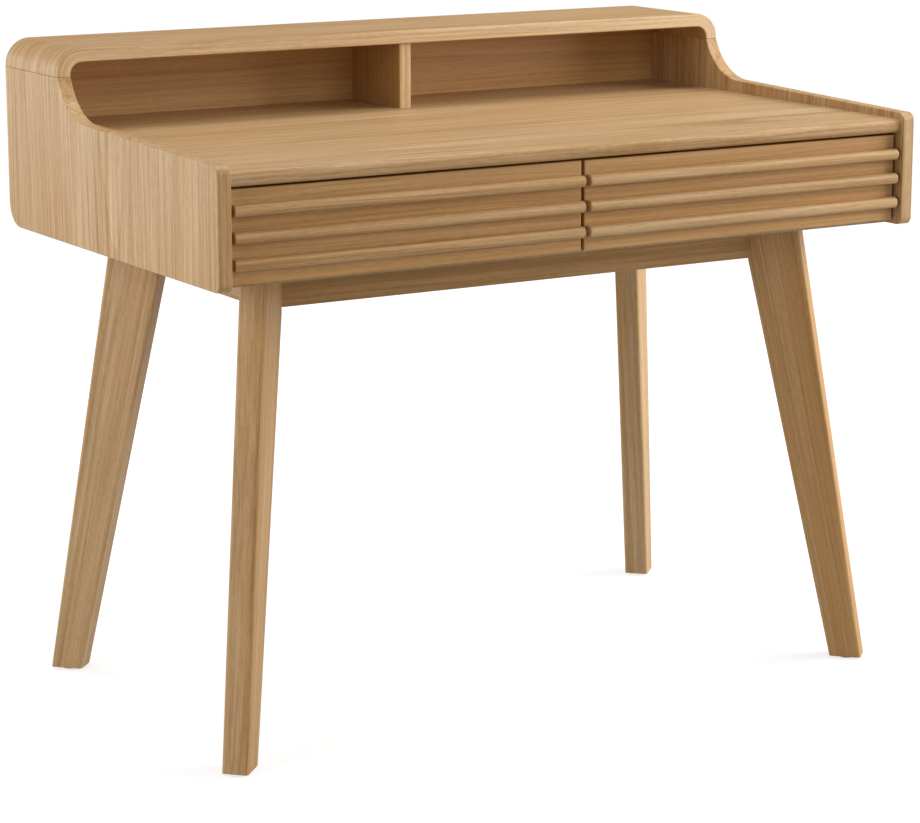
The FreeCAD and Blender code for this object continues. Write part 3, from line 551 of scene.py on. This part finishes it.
def build_plated_steel(name):
    """Rolled and plated metal: long rolling marks, cloudy plating and small specks."""
    tree, sheet, given, result = new_group(
        name,
        {"Point": "Vector", "Color": "Color", "Dull": "Color", "Roughness": "Float"},
        {"Color": "Color", "Roughness": "Float", "Height": "Float"},
    )
    cloud_dullness = 0.35
    speck_dullness = 0.3
    cloud_wear = 0.16
    rolled_wear = 0.08
    speck_relief = -0.5

    point = given["Point"]
    rolled = sheet.noise(point, (900, 12, 900), 2)
    cloud = sheet.noise(point, (60, 60, 60), 3)
    specks = sheet.ramp(sheet.cells(point, (700, 700, 700)), 0.12, 0.05)
    spotted = sheet.math("MULTIPLY", specks, speck_dullness)
    dull = sheet.math("MULTIPLY_ADD", cloud, cloud_dullness, spotted, clamp=True)
    sheet.feed(result["Color"], sheet.blend(dull, given["Color"], given["Dull"]))
    worn = sheet.math("ADD", given["Roughness"], sheet.around(cloud, cloud_wear))
    sheet.feed(result["Roughness"], sheet.math("ADD", worn, sheet.around(rolled, rolled_wear)))
    sheet.feed(result["Height"], sheet.math("MULTIPLY_ADD", specks, speck_relief, rolled))
    return tree


def new_material(name):
    """An empty material: itself, a sheet to build on, its shader and the piece's own coordinates."""
    material = bpy.data.materials.new(name)
    material.use_nodes = True
    sheet = NodeSheet(material.node_tree)
    shader = material.node_tree.nodes["Principled BSDF"]
    place = sheet.node("TexCoord").outputs["Object"]
    return material, sheet, shader, place


def placed_group(sheet, tree, **values):
    """A shared group in a material, with its own values; underscores stand for spaces."""
    made = sheet.node("Group", node_tree=tree)
    for label, value in values.items():
        sheet.feed(made.inputs[label.replace("_", " ").title()], value)
    return made.outputs


def add_relief(sheet, shader, height, finish):
    """Lets a height in a material raise its surface, as its finish does."""
    strength, depth = RELIEFS[finish]
    bump = sheet.node("Bump")
    bump.inputs["Strength"].default_value = strength
    bump.inputs["Distance"].default_value = depth
    sheet.feed(bump.inputs["Height"], height)
    sheet.feed(shader.inputs["Normal"], bump.outputs["Normal"])


def show_surface(sheet, shader, surface, finish):
    """Lets a group's colour, roughness and height make the surface of a material."""
    sheet.feed(shader.inputs["Base Color"], surface["Color"])
    sheet.feed(shader.inputs["Roughness"], surface["Roughness"])
    add_relief(sheet, shader, surface["Height"], finish)


def board_point(sheet, place, middle, frame_of_board):
    """Coordinates on a board: along the grain, across it and through the board."""
    mapping = sheet.node("Mapping", vector_type="TEXTURE")
    mapping.inputs["Location"].default_value = middle
    mapping.inputs["Rotation"].default_value = frame_of_board.to_euler()
    sheet.feed(mapping.inputs["Vector"], place)
    return mapping.outputs["Vector"]


def square_frame(grain, face):
    """A board's own axes as a rotation: grain, across and through."""
    along = AXES[grain]
    through = AXES[face]
    return Matrix((along, through.cross(along), through)).transposed()


def middle_of(node):
    """The middle of a node's box."""
    low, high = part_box(node)
    return (low + high) / 2


def heart_of(cut, number):
    """A board's place in its log, which changes from board to board so that no figure repeats."""
    across, below, lean = CUTS[cut]
    (step_across, cycle_across), (step_below, cycle_below) = HEART_STEPS
    side = 1 if number % 2 else -1
    slope = 1 if number % 3 else -1
    return (
        across * side + step_across * (number % cycle_across),
        below + step_below * (number % cycle_below),
        lean * slope,
    )


def oak_figure(sheet, wood, point, heart, **values):
    """The oak's figure in a material, at a board's place in its log."""
    across, below, lean = heart
    return placed_group(
        sheet,
        shared_group("oak figure", build_oak_figure),
        point=point,
        heart_across=across,
        heart_below=below,
        lean=lean,
        ring_width=wood.ring_width,
        **values,
    )


def inner_wood(wood, node, grain, face):
    """Plain pale wood for a hidden board or block."""
    material, sheet, shader, place = new_material(node + "_wood")
    figure = oak_figure(
        sheet,
        wood,
        board_point(sheet, place, middle_of(node), square_frame(grain, face)),
        CUTS["inner"],
        slice=0.0,
        tone=0.0,
        warmth=0.0,
        roughness=wood.inner_roughness,
        light=wood.light_inner,
        dark=wood.dark_inner,
        blush=wood.light_inner,
        pore=wood.dark_oak,
    )
    show_surface(sheet, shader, figure, "inner_wood")
    return material


def oak_shader(wood, name, point_from, cut, tone, warmth, slice_number):
    """An oak material on coordinates that the given function makes."""
    material, sheet, shader, place = new_material(name + "_oak")
    # Front- and rear-looking faces take the lipping's tone, which is partly painted light.
    if name in LIPPINGS_AND_PAINTED_LIGHT:
        normal = sheet.node("NewGeometry").outputs["Normal"]
        lipping_and_light = sheet.math("ABSOLUTE", sheet.dot(normal, AXES["Y"]))
        lipping_and_light = sheet.ramp(lipping_and_light, *LIPPING_FACES)
        tone, warmth = (
            sheet.math("MULTIPLY_ADD", lipping_and_light, step, amount)
            for step, amount in zip(LIPPINGS_AND_PAINTED_LIGHT[name], (tone, warmth))
        )
    figure = oak_figure(
        sheet,
        wood,
        point_from(sheet, place),
        heart_of(cut, slice_number),
        slice=slice_number,
        tone=tone,
        warmth=warmth,
        roughness=wood.roughness,
        light=wood.light_oak,
        dark=wood.dark_oak,
        blush=wood.blush_oak,
        pore=wood.pore,
    )
    edge = placed_group(
        sheet, shared_group("rubbed edge", build_rubbed_edge_highlight), point=place, width=wood.edge_width
    )["Edge"]
    # The rounded edges are lightened towards the edge colour as a painted highlight, and made
    # smoother.
    painted_highlight = sheet.math("MULTIPLY", edge, wood.edge_highlight_share)
    sheet.feed(shader.inputs["Base Color"], sheet.blend(painted_highlight, figure["Color"], wood.rubbed_oak))
    polish = sheet.math("MULTIPLY_ADD", edge, -wood.edge_polish, figure["Roughness"])
    sheet.feed(shader.inputs["Roughness"], polish)
    shader.inputs["Specular IOR Level"].default_value = wood.gloss
    add_relief(sheet, shader, figure["Height"], "oak")
    return material


def dress(node, material):
    """Gives a node its material."""
    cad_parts[node].material_slots[0].material = material


def finish_board(wood, node, middle, axes, *figure):
    """Oak on a board with its own middle and axes; the figure is its cut, tones and slice."""
    material = oak_shader(
        wood, node, lambda sheet, place: board_point(sheet, place, middle, axes), *figure
    )
    dress(node, material)


def finish_straight_board(wood, node, grain, face, *figure):
    """Oak on a straight board, its grain along one axis."""
    finish_board(wood, node, middle_of(node), square_frame(grain, face), *figure)


def leg_frame(node):
    """A leg's middle and its own axes: along the leg, across it and square to the splay."""
    end_share = 1 / 20
    points = [vertex.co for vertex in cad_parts[node].data.vertices]
    low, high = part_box(node)
    near = (high.z - low.z) * end_share
    ends = []
    for level in (low.z, high.z):
        at_end = [point for point in points if abs(point.z - level) < near]
        ends.append(sum(at_end, Vector()) / len(at_end))
    along = (ends[1] - ends[0]).normalized()
    through = along.cross(AXES["Z"]).normalized()
    axes = Matrix((along, through.cross(along), through)).transposed()
    return (ends[0] + ends[1]) / 2, axes


class DESK_OT_finish_case(bpy.types.Operator):
    """Oak on the case and its bent hutch top, plain wood on what is hidden"""

    bl_idname = "desk.finish_case"
    bl_label = "Finish the Case"

    def execute(self, context):
        wood = context.scene.desk_wood
        for number, node in enumerate(CASE_BOARDS):
            finish_straight_board(wood, node, *STRAIGHT_BOARDS[node], number)
        self.finish_hutch_top(wood)
        for node, face in HIDDEN_BOARDS.items():
            dress(node, inner_wood(wood, node, "Y", face))
        return {"FINISHED"}

    def finish_hutch_top(self, wood):
        """The hutch top's grain runs along the desk and turns down with its bent ends."""
        low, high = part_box("hutch_top")
        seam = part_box("left_side_panel")[1].z
        thickness = high.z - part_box("hutch_divider")[1].z
        radius = high.z - seam - wood.bend_above_seam
        middle = radius - thickness / 2
        bend = shared_group("bent board", build_bent_board)
        material = oak_shader(
            wood,
            "hutch_top",
            lambda sheet, place: placed_group(
                sheet,
                bend,
                point=place,
                flat_reach=high.x - radius,
                bend_height=high.z - radius,
                bend_middle=middle,
                depth_middle=(low.y + high.y) / 2,
            )["Point"],
            "rift",
            *HUTCH_TONE,
            HUTCH_SLICE,
        )
        dress("hutch_top", material)


class DESK_OT_finish_base(bpy.types.Operator):
    """Oak on the splayed legs and the rails, plain wood on the corner blocks"""

    bl_idname = "desk.finish_base"
    bl_label = "Finish the Base"

    def execute(self, context):
        wood = context.scene.desk_wood
        for number, node in enumerate(RAILS):
            finish_straight_board(wood, node, *STRAIGHT_BOARDS[node], number)
        for number, corner in enumerate(CORNERS):
            leg = corner + "_leg"
            finish_board(wood, leg, *leg_frame(leg), "rift", *LEG_TONES_AND_PAINTED_LIGHT[corner], number)
            block = corner + "_corner_block"
            dress(block, inner_wood(wood, block, "X", "Z"))
        return {"FINISHED"}


class DESK_OT_finish_drawers(bpy.types.Operator):
    """Oak on the drawer fronts and their slats, layered board on the drawer boxes"""

    bl_idname = "desk.finish_drawers"
    bl_label = "Finish the Drawers"

    def execute(self, context):
        wood = context.scene.desk_wood
        for number, drawer in enumerate(DRAWERS):
            front = drawer + "_front"
            finish_straight_board(wood, front, *STRAIGHT_BOARDS[front], number)
            for place, slat in enumerate(SLATS):
                node = drawer + "_" + slat
                order = number * len(SLATS) + place
                finish_straight_board(wood, node, "X", "Y", "rift", *SLAT_TONES[order], order)
            for wall, face in BOX_WALLS.items():
                node = drawer + "_" + wall
                dress(node, self.box_board(wood, node, "X" if face == "Y" else "Y", face))
        return {"FINISHED"}

    def box_board(self, wood, node, grain, face):
        """Layered board, pale on its faces and striped on its edges."""
        material, sheet, shader, place = new_material(node + "_ply")
        point = board_point(sheet, place, middle_of(node), square_frame(grain, face))
        layers = placed_group(
            sheet,
            shared_group("ply layers", build_ply_layers),
            point=point,
            layer=wood.ply_thickness,
            light=wood.light_ply,
            dark=wood.dark_ply,
        )
        show_surface(sheet, shader, layers, "ply")
        return material


def steel(hardware, name, plating_colour, roughness):
    """Plated steel, made once for each use."""
    found = bpy.data.materials.get(name)
    if found:
        return found
    material, sheet, shader, place = new_material(name)
    plating = placed_group(
        sheet,
        shared_group("plated steel", build_plated_steel),
        point=place,
        color=plating_colour,
        dull=hardware.dull_plating,
        roughness=roughness,
    )
    shader.inputs["Metallic"].default_value = 1
    show_surface(sheet, shader, plating, "steel")
    return material


class DESK_OT_finish_slides(bpy.types.Operator):
    """Zinc on the telescopic slides' channels"""

    bl_idname = "desk.finish_slides"
    bl_label = "Finish the Slides"

    def execute(self, context):
        hardware = context.scene.desk_hardware
        material = steel(hardware, "zinc_slide", hardware.zinc, hardware.zinc_roughness)
        for drawer in DRAWERS:
            for side in SLIDES:
                for channel in SLIDE_CHANNELS:
                    dress("_".join((drawer, side, channel)), material)
        return {"FINISHED"}


def fastener_steel(hardware):
    """The plated steel of all screws, bolts and nuts."""
    return steel(hardware, "fastener_steel", hardware.fastener, hardware.fastener_roughness)


def solids_of(node):
    """The corners of each separate solid in a node, from its own mesh."""
    mesh = bmesh.new()
    mesh.from_mesh(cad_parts[node].data)
    bmesh.ops.remove_doubles(mesh, verts=mesh.verts, dist=SAME_PLACE)
    waiting = set(mesh.verts)
    found = []
    while waiting:
        front = [waiting.pop()]
        solid = []
        while front:
            vertex = front.pop()
            solid.append(vertex.co.copy())
            beside = {edge.other_vert(vertex) for edge in vertex.link_edges} & waiting
            waiting -= beside
            front.extend(beside)
        found.append(solid)
    mesh.free()
    corners = []
    for solid in found:
        low = Vector(map(min, zip(*solid)))
        high = Vector(map(max, zip(*solid)))
        corners.append((low, high))
    return sorted(corners, key=lambda pair: tuple(round(value, 4) for value in pair[0]))


def clear_selection():
    """Leaves no object selected."""
    bpy.ops.object.select_all(action="DESELECT")


def choose(piece, kind, test):
    """Selects, in edit mode, only the faces or edges that pass a test."""
    bpy.ops.mesh.select_mode(type="FACE" if kind == "faces" else "EDGE")
    bpy.ops.mesh.select_all(action="DESELECT")
    mesh = bmesh.from_edit_mesh(piece.data)
    for part in getattr(mesh, kind):
        part.select_set(test(part))
    bmesh.update_edit_mesh(piece.data)


def new_cylinder(name, radius, low, high, sides=48):
    """A cylinder on the Z axis, as a start for a turned piece."""
    clear_selection()
    bpy.ops.mesh.primitive_cylinder_add(
        vertices=sides, radius=radius, depth=high - low, location=(0, 0, (low + high) / 2)
    )
    piece = bpy.context.object
    piece.name = name
    bpy.ops.object.transform_apply(location=True, rotation=True, scale=True)
    return piece


def use_tool(piece, tool, operation):
    """Cuts one piece with another, or joins them, and removes the tool."""
    clear_selection()
    piece.select_set(True)
    bpy.context.view_layer.objects.active = piece
    change = piece.modifiers.new(operation.lower(), "BOOLEAN")
    change.operation = operation
    change.object = tool
    change.solver = "EXACT"
    bpy.ops.object.modifier_apply(modifier=change.name)
    bpy.data.objects.remove(tool)


def at_level(part, level):
    """Whether all of a face or edge lies at one height."""
    return all(abs(vertex.co.z - level) < SAME_PLACE for vertex in part.verts)


def bevel_rims(piece, width, segments, *levels):
    """Rounds or chamfers the rims of a turned piece at some heights."""
    bpy.ops.object.mode_set(mode="EDIT")
    choose(piece, "edges", lambda edge: any(at_level(edge, level) for level in levels))
    bpy.ops.mesh.bevel(offset=width, segments=segments, affect="EDGES")
    bpy.ops.object.mode_set(mode="OBJECT")


def model_screw(hardware, name, head_width, head_height, shank_width, shank_length):
    """A round-headed screw with a cross recess: head up, its underside at the origin's height."""
    piece = new_cylinder(name, head_width / 2, 0, head_height)
    bevel_rims(piece, head_height * hardware.head_dome, 6, head_height)
    bpy.ops.object.mode_set(mode="EDIT")
    choose(piece, "faces", lambda face: at_level(face, 0))
    bpy.ops.mesh.inset(thickness=(head_width - shank_width) / 2)
    point = shank_length * hardware.point_share
    bpy.ops.mesh.extrude_region_move(TRANSFORM_OT_translate={"value": (0, 0, point - shank_length)})
    bpy.ops.mesh.extrude_region_move(TRANSFORM_OT_translate={"value": (0, 0, -point)})
    bpy.ops.transform.resize(value=(hardware.tip_width, hardware.tip_width, 1))
    bpy.ops.object.mode_set(mode="OBJECT")
    cut_recess(hardware, piece, head_width, head_height)
    return piece


def cut_recess(hardware, piece, head_width, head_height):
    """Cuts a tapered cross into a screw's head."""
    reach = head_width * hardware.recess_reach
    arm = reach * hardware.recess_width
    depth = head_height * hardware.recess_depth
    for long_x, long_y in ((reach, arm), (arm, reach)):
        clear_selection()
        bpy.ops.mesh.primitive_cube_add(size=1, location=(0, 0, head_height))
        tool = bpy.context.object
        tool.scale = (long_x, long_y, 2 * depth)
        bpy.ops.object.transform_apply(location=True, rotation=True, scale=True)
        bpy.ops.object.mode_set(mode="EDIT")
        choose(tool, "faces", lambda face: at_level(face, head_height - depth))
        bpy.ops.transform.resize(value=(hardware.recess_taper, hardware.recess_taper, 1))
        bpy.ops.object.mode_set(mode="OBJECT")
        use_tool(piece, tool, "DIFFERENCE")


def copies_joined(model, name, places):
    """One piece of copies of a model, each moved to a place; the model is removed."""
    clear_selection()
    for number, place in enumerate(places):
        copy = bpy.data.objects.new("%s_%d" % (name, number), model.data.copy())
        bpy.context.collection.objects.link(copy)
        copy.data.transform(place)
        copy.select_set(True)
        bpy.context.view_layer.objects.active = copy
    bpy.ops.object.join()
    piece = bpy.context.object
    piece.name = name
    bpy.data.objects.remove(model)
    bpy.ops.object.shade_smooth_by_angle(angle=SMOOTH_ANGLE)
    return piece


def pointing(place, direction):
    """A turn that points the Z axis along a direction, and a move to a place."""
    return Matrix.Translation(place) @ direction.to_track_quat("Z", "Y").to_matrix().to_4x4()


def seat(piece, body, slot, material, *nodes):
    """Gives a finished piece its body and material, and the nodes that it stands for; the slot is
    not used.
    """
    piece.data.materials.clear()
    piece.data.materials.append(material)
    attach(piece, body)
    if nodes:
        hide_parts(*nodes)


class DESK_OT_add_screws(bpy.types.Operator):
    """Cross-recess screws behind the drawer fronts, under the corner blocks and in the slides"""

    bl_idname = "desk.add_screws"
    bl_label = "Add the Screws"

    def execute(self, context):
        hardware = context.scene.desk_hardware
        material = fastener_steel(hardware)
        for drawer in DRAWERS:
            node = drawer + "_front_screws"
            self.replace_screws(hardware, node, drawer, AXES["Y"], material)
            self.add_slide_screws(hardware, drawer, material)
        self.replace_screws(hardware, "base_screws", "desk", -AXES["Z"], material)
        return {"FINISHED"}

    def replace_screws(self, hardware, node, body, head_way, material):
        """Screws in the place of a node's plain ones, with their heads one way."""
        head_height = hardware.screw_head_height
        solids = solids_of(node)
        size = solids[0][1] - solids[0][0]
        whole = abs(size.dot(head_way))
        head_width = max(abs(size.dot(axis)) for axis in AXES.values() if not axis.dot(head_way))
        model = model_screw(
            hardware,
            "screw",
            head_width,
            head_height,
            hardware.screw_shank,
            whole - head_height,
        )
        places = []
        for low, high in solids:
            middle = (low + high) / 2
            foot = middle + head_way * (whole / 2 - head_height)
            places.append(pointing(foot, head_way))
        piece = copies_joined(model, node + "_recessed", places)
        seat(piece, body, "fastener_steel", material, node)

    def add_slide_screws(self, hardware, drawer, material):
        """Screws that hold the drawer's own channels, their heads in the channels' hollows."""
        places = []
        drawer_middle = middle_of(drawer + "_floor").x
        for side in SLIDES:
            low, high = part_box("_".join((drawer, side, "drawer_channel")))
            outward = 1 if low.x > drawer_middle else -1
            web = low.x if outward > 0 else high.x
            seat_x = web + outward * hardware.slide_wall
            for run in SLIDE_SCREW_RUNS:
                spot = Vector((seat_x, low.y + run * (high.y - low.y), (low.z + high.z) / 2))
                places.append(pointing(spot, AXES["X"] * outward))
        model = model_screw(
            hardware,
            "slide_screw",
            hardware.slide_screw_head,
            hardware.slide_screw_height,
            hardware.slide_screw_width,
            hardware.slide_screw_shank,
        )
        piece = copies_joined(model, drawer + "_slide_screws", places)
        seat(piece, drawer, "fastener_steel", material)


class DESK_OT_add_leg_bolts(bpy.types.Operator):
    """Threaded hanger bolts with flanged nuts at the four corners"""

    bl_idname = "desk.add_leg_bolts"
    bl_label = "Add the Leg Bolts"

    def execute(self, context):
        hardware = context.scene.desk_hardware
        material = fastener_steel(hardware)
        solids = solids_of("leg_hanger_bolts")
        width = solids[0][1].z - solids[0][0].z
        span = (solids[0][1] - solids[0][0]).xy.length - width
        bolt = self.model_bolt(hardware, width / 2, span)
        places = [pointing(self.inner_end(pair, span), self.outward(pair)) for pair in solids]
        piece = copies_joined(bolt, "leg_hanger_bolts_threaded", places)
        seat(piece, "desk", "fastener_steel", material, "leg_hanger_bolts")
        self.add_nuts(hardware, material, width / 2)
        return {"FINISHED"}

    def outward(self, pair):
        """The way out along a corner's diagonal."""
        middle = (pair[0] + pair[1]) / 2
        return Vector((math.copysign(1, middle.x), math.copysign(1, middle.y), 0)).normalized()

    def inner_end(self, pair, span):
        """The end of a bolt or nut that points into the desk."""
        return (pair[0] + pair[1]) / 2 - self.outward(pair) * span / 2

    def model_bolt(self, hardware, radius, span):
        """A threaded rod from the origin up the Z axis, cut square at both ends."""
        pitch = hardware.thread_pitch
        turns = math.ceil(span / pitch) + 2
        depth = hardware.thread_depth
        root = Vector((radius - depth, 0, -pitch))
        corners = [root + Vector((out * depth, 0, up * pitch)) for out, up in THREAD_PROFILE]
        clear_selection()
        bpy.ops.mesh.primitive_plane_add(size=pitch, location=(0, 0, 0))
        bolt = bpy.context.object
        bolt.name = "bolt"
        bpy.ops.object.mode_set(mode="EDIT")
        bpy.ops.mesh.select_mode(type="VERT")
        bpy.ops.mesh.select_all(action="SELECT")
        bpy.ops.mesh.merge(type="CENTER")
        bpy.ops.transform.translate(value=corners[0])
        for first, second in zip(corners, corners[1:]):
            bpy.ops.mesh.extrude_region_move(TRANSFORM_OT_translate={"value": second - first})
        bpy.ops.object.mode_set(mode="OBJECT")
        winding = bolt.modifiers.new("thread", "SCREW")
        winding.axis = "Z"
        winding.screw_offset = pitch
        winding.iterations = turns
        winding.steps = THREAD_STEPS
        winding.render_steps = THREAD_STEPS
        winding.use_merge_vertices = True
        bpy.ops.object.modifier_apply(modifier=winding.name)
        self.square_end(0, False)
        self.square_end(span, True)
        return bolt

    def square_end(self, level, drop_above):
        """Cuts the rod in hand flat at one height and closes the cut."""
        bpy.ops.object.mode_set(mode="EDIT")
        bpy.ops.mesh.select_all(action="SELECT")
        bpy.ops.mesh.remove_doubles(threshold=SAME_PLACE)
        bpy.ops.mesh.bisect(
            plane_co=(0, 0, level),
            plane_no=(0, 0, 1),
            use_fill=True,
            clear_outer=drop_above,
            clear_inner=not drop_above,
        )
        bpy.ops.mesh.select_all(action="SELECT")
        bpy.ops.mesh.normals_make_consistent(inside=False)
        bpy.ops.object.mode_set(mode="OBJECT")

    def add_nuts(self, hardware, material, bore):
        """Flanged nuts, chamfered at their corners, in the place of the plain ones."""
        solids = solids_of("leg_bolt_nuts")
        radius = (solids[0][1].z - solids[0][0].z) / 2
        height = hardware.nut_height
        flange_foot = height - hardware.nut_flange_height
        nut = new_cylinder("nut", radius, 0, height, 6)
        blank = new_cylinder("nut_blank", radius, 0, height, 64)
        bevel_rims(blank, hardware.nut_chamfer, 1, 0, height)
        use_tool(nut, blank, "INTERSECT")
        flange = new_cylinder("nut_flange", radius + hardware.nut_flange, flange_foot, height)
        bevel_rims(flange, hardware.nut_flange_height / 2, 2, flange_foot)
        use_tool(nut, flange, "UNION")
        use_tool(nut, new_cylinder("nut_bore", bore, -height, 2 * height), "DIFFERENCE")
        places = [pointing(self.inner_end(pair, height), self.outward(pair)) for pair in solids]
        piece = copies_joined(nut, "leg_bolt_nuts_flanged", places)
        seat(piece, "desk", "fastener_steel", material, "leg_bolt_nuts")


class DESK_OT_add_glides(bpy.types.Operator):
    """Nylon glides with rounded rims and nail holes under the feet"""

    bl_idname = "desk.add_glides"
    bl_label = "Add the Glides"

    def execute(self, context):
        hardware = context.scene.desk_hardware
        solids = solids_of("foot_glides")
        size = solids[0][1] - solids[0][0]
        glide = new_cylinder("glide", size.x / 2, 0, size.z)
        bevel_rims(glide, hardware.glide_bevel, 4, 0)
        bpy.ops.object.mode_set(mode="EDIT")
        choose(glide, "faces", lambda face: at_level(face, 0))
        bpy.ops.mesh.inset(thickness=size.x * hardware.glide_rim)
        hole = (0, 0, hardware.glide_dimple)
        bpy.ops.mesh.extrude_region_move(TRANSFORM_OT_translate={"value": hole})
        bpy.ops.object.mode_set(mode="OBJECT")
        places = []
        for low, high in solids:
            places.append(Matrix.Translation(((low.x + high.x) / 2, (low.y + high.y) / 2, low.z)))
        piece = copies_joined(glide, "foot_glides_rounded", places)
        seat(piece, "desk", "glide_nylon", self.nylon(hardware), "foot_glides")
        return {"FINISHED"}

    def nylon(self, hardware):
        """Pale moulded nylon with a faint grain and scuffs."""
        scuff_share = 0.5
        grain_dryness = 0.25
        least_roughness = 0.35
        material, sheet, shader, place = new_material("glide_nylon")
        grain = sheet.noise(place, (900, 900, 900), 2)
        scuff = sheet.ramp(sheet.noise(place, (120, 120, 120), 3), 0.45, 0.75)
        scuff = sheet.math("MULTIPLY", scuff, scuff_share)
        mottled = sheet.blend(scuff, hardware.nylon, hardware.scuffed_nylon)
        sheet.feed(shader.inputs["Base Color"], mottled)
        dry = sheet.math("MULTIPLY_ADD", grain, grain_dryness, least_roughness)
        sheet.feed(shader.inputs["Roughness"], dry)
        add_relief(sheet, shader, grain, "nylon")
        return material


class DESK_OT_set_stage(bpy.types.Operator):
    """A plain pale floor, soft studio light and the camera"""

    bl_idname = "desk.set_stage"
    bl_label = "Set the Stage"

    def execute(self, context):
        studio = context.scene.desk_studio
        context.scene.view_settings.view_transform = "Standard"
        self.add_floor(studio)
        self.add_world(context, studio)
        self.add_lamps(studio)
        self.add_camera(context, studio)
        return {"FINISHED"}

    def seen(self, sheet, mirrored):
        """How white the studio looks: in full to the eye, by a share in a reflection, else not."""
        path = sheet.node("LightPath").outputs
        direct = sheet.math("MAXIMUM", path["Is Camera Ray"], path["Is Transmission Ray"])
        return sheet.math("MAXIMUM", direct, sheet.math("MULTIPLY", path["Is Glossy Ray"], mirrored))

    def add_floor(self, studio):
        """A wide floor, white where it is seen, that keeps a soft shadow near the desk."""
        clear_selection()
        bpy.ops.mesh.primitive_circle_add(
            vertices=96, radius=studio.floor_radius, fill_type="NGON", location=(0, 0, 0)
        )
        floor = bpy.context.object
        floor.name = "floor"
        material, sheet, shader, place = new_material("pale_floor")
        sheet.feed(shader.inputs["Base Color"], studio.floor)
        shader.inputs["Roughness"].default_value = studio.floor_roughness
        shader.inputs["Specular IOR Level"].default_value = 0
        shade = sheet.node("BsdfDiffuse")
        shade.inputs["Color"].default_value = studio.floor_shade
        glow = sheet.node("Emission")
        distance = sheet.node("VectorMath", operation="LENGTH")
        sheet.feed(distance.inputs[0], place)
        sheet.feed(glow.inputs["Strength"], sheet.ramp(distance.outputs["Value"], *FLOOR_GLOW))
        white = sheet.filled(sheet.node("AddShader"), (shade.outputs[0], glow.outputs[0]))
        seen = self.seen(sheet, studio.mirrored)
        terms = (seen, shader.outputs[0], white.outputs[0])
        either = sheet.filled(sheet.node("MixShader"), terms)
        out = material.node_tree.nodes["Material Output"]
        sheet.feed(out.inputs["Surface"], either.outputs[0])
        floor.data.materials.append(material)

    def add_world(self, context, studio):
        """Even light all round, white where it is seen."""
        world = bpy.data.worlds.new("studio")
        world.use_nodes = True
        sheet = NodeSheet(world.node_tree)
        background = world.node_tree.nodes["Background"]
        seen = self.seen(sheet, studio.mirrored)
        sheet.feed(
            background.inputs["Strength"],
            sheet.math("MULTIPLY_ADD", seen, 1.0 - studio.ambient, studio.ambient),
        )
        background.inputs["Color"].default_value = (1, 1, 1, 1)
        context.scene.world = world

    def add_lamps(self, studio):
        """Soft square lamps, each aimed at the desk; the back one leaves no mirror image."""
        for name, (place, width) in LAMPS.items():
            clear_selection()
            bpy.ops.object.light_add(type="AREA", location=place)
            lamp = bpy.context.object
            lamp.name = name + "_lamp"
            lamp.data.energy = getattr(studio, name + "_power")
            lamp.data.size = width
            lamp.visible_glossy = name != "back"
            lamp.rotation_euler = (LAMP_AIM - Vector(place)).to_track_quat("-Z", "Y").to_euler()

    def add_camera(self, context, studio):
        """A camera at the left front of the desk, looking a little down."""
        clear_selection()
        bpy.ops.object.camera_add(
            location=studio.camera_place,
            rotation=(math.pi / 2 - studio.camera_dip, 0, -studio.camera_turn),
        )
        camera = bpy.context.object
        camera.data.lens = studio.focal_length
        context.scene.camera = camera


OPERATORS = (
    DESK_OT_finish_case,
    DESK_OT_finish_base,
    DESK_OT_finish_drawers,
    DESK_OT_finish_slides,
    DESK_OT_add_screws,
    DESK_OT_add_leg_bolts,
    DESK_OT_add_glides,
    DESK_OT_set_stage,
)


class DESK_PT_builder(bpy.types.Panel):
    """The desk's finishes, hardware and studio, with a button for each step"""

    bl_idname = "DESK_PT_builder"
    bl_label = "Writing Desk"
    bl_space_type = "VIEW_3D"
    bl_region_type = "UI"
    bl_category = "Desk"

    def draw(self, context):
        scene = context.scene
        for settings in (scene.desk_wood, scene.desk_hardware, scene.desk_studio):
            column = self.layout.box().column()
            for name in settings.__annotations__:
                column.prop(settings, name)
        for operator in OPERATORS:
            self.layout.operator(operator.bl_idname)


SETTINGS = {"desk_wood": DeskWood, "desk_hardware": DeskHardware, "desk_studio": DeskStudio}
CLASSES = (*SETTINGS.values(), *OPERATORS, DESK_PT_builder)


def register():
    for each in CLASSES:
        bpy.utils.register_class(each)
    for name, group in SETTINGS.items():
        setattr(bpy.types.Scene, name, bpy.props.PointerProperty(type=group))


def unregister():
    for name in SETTINGS:
        delattr(bpy.types.Scene, name)
    for each in reversed(CLASSES):
        bpy.utils.unregister_class(each)


def main():
    register()
    bpy.ops.desk.finish_case()
    bpy.ops.desk.finish_base()
    bpy.ops.desk.finish_drawers()
    bpy.ops.desk.finish_slides()
    bpy.ops.desk.add_screws()
    bpy.ops.desk.add_leg_bolts()
    bpy.ops.desk.add_glides()
    bpy.ops.desk.set_stage()


if __name__ == "__main__":
    main()
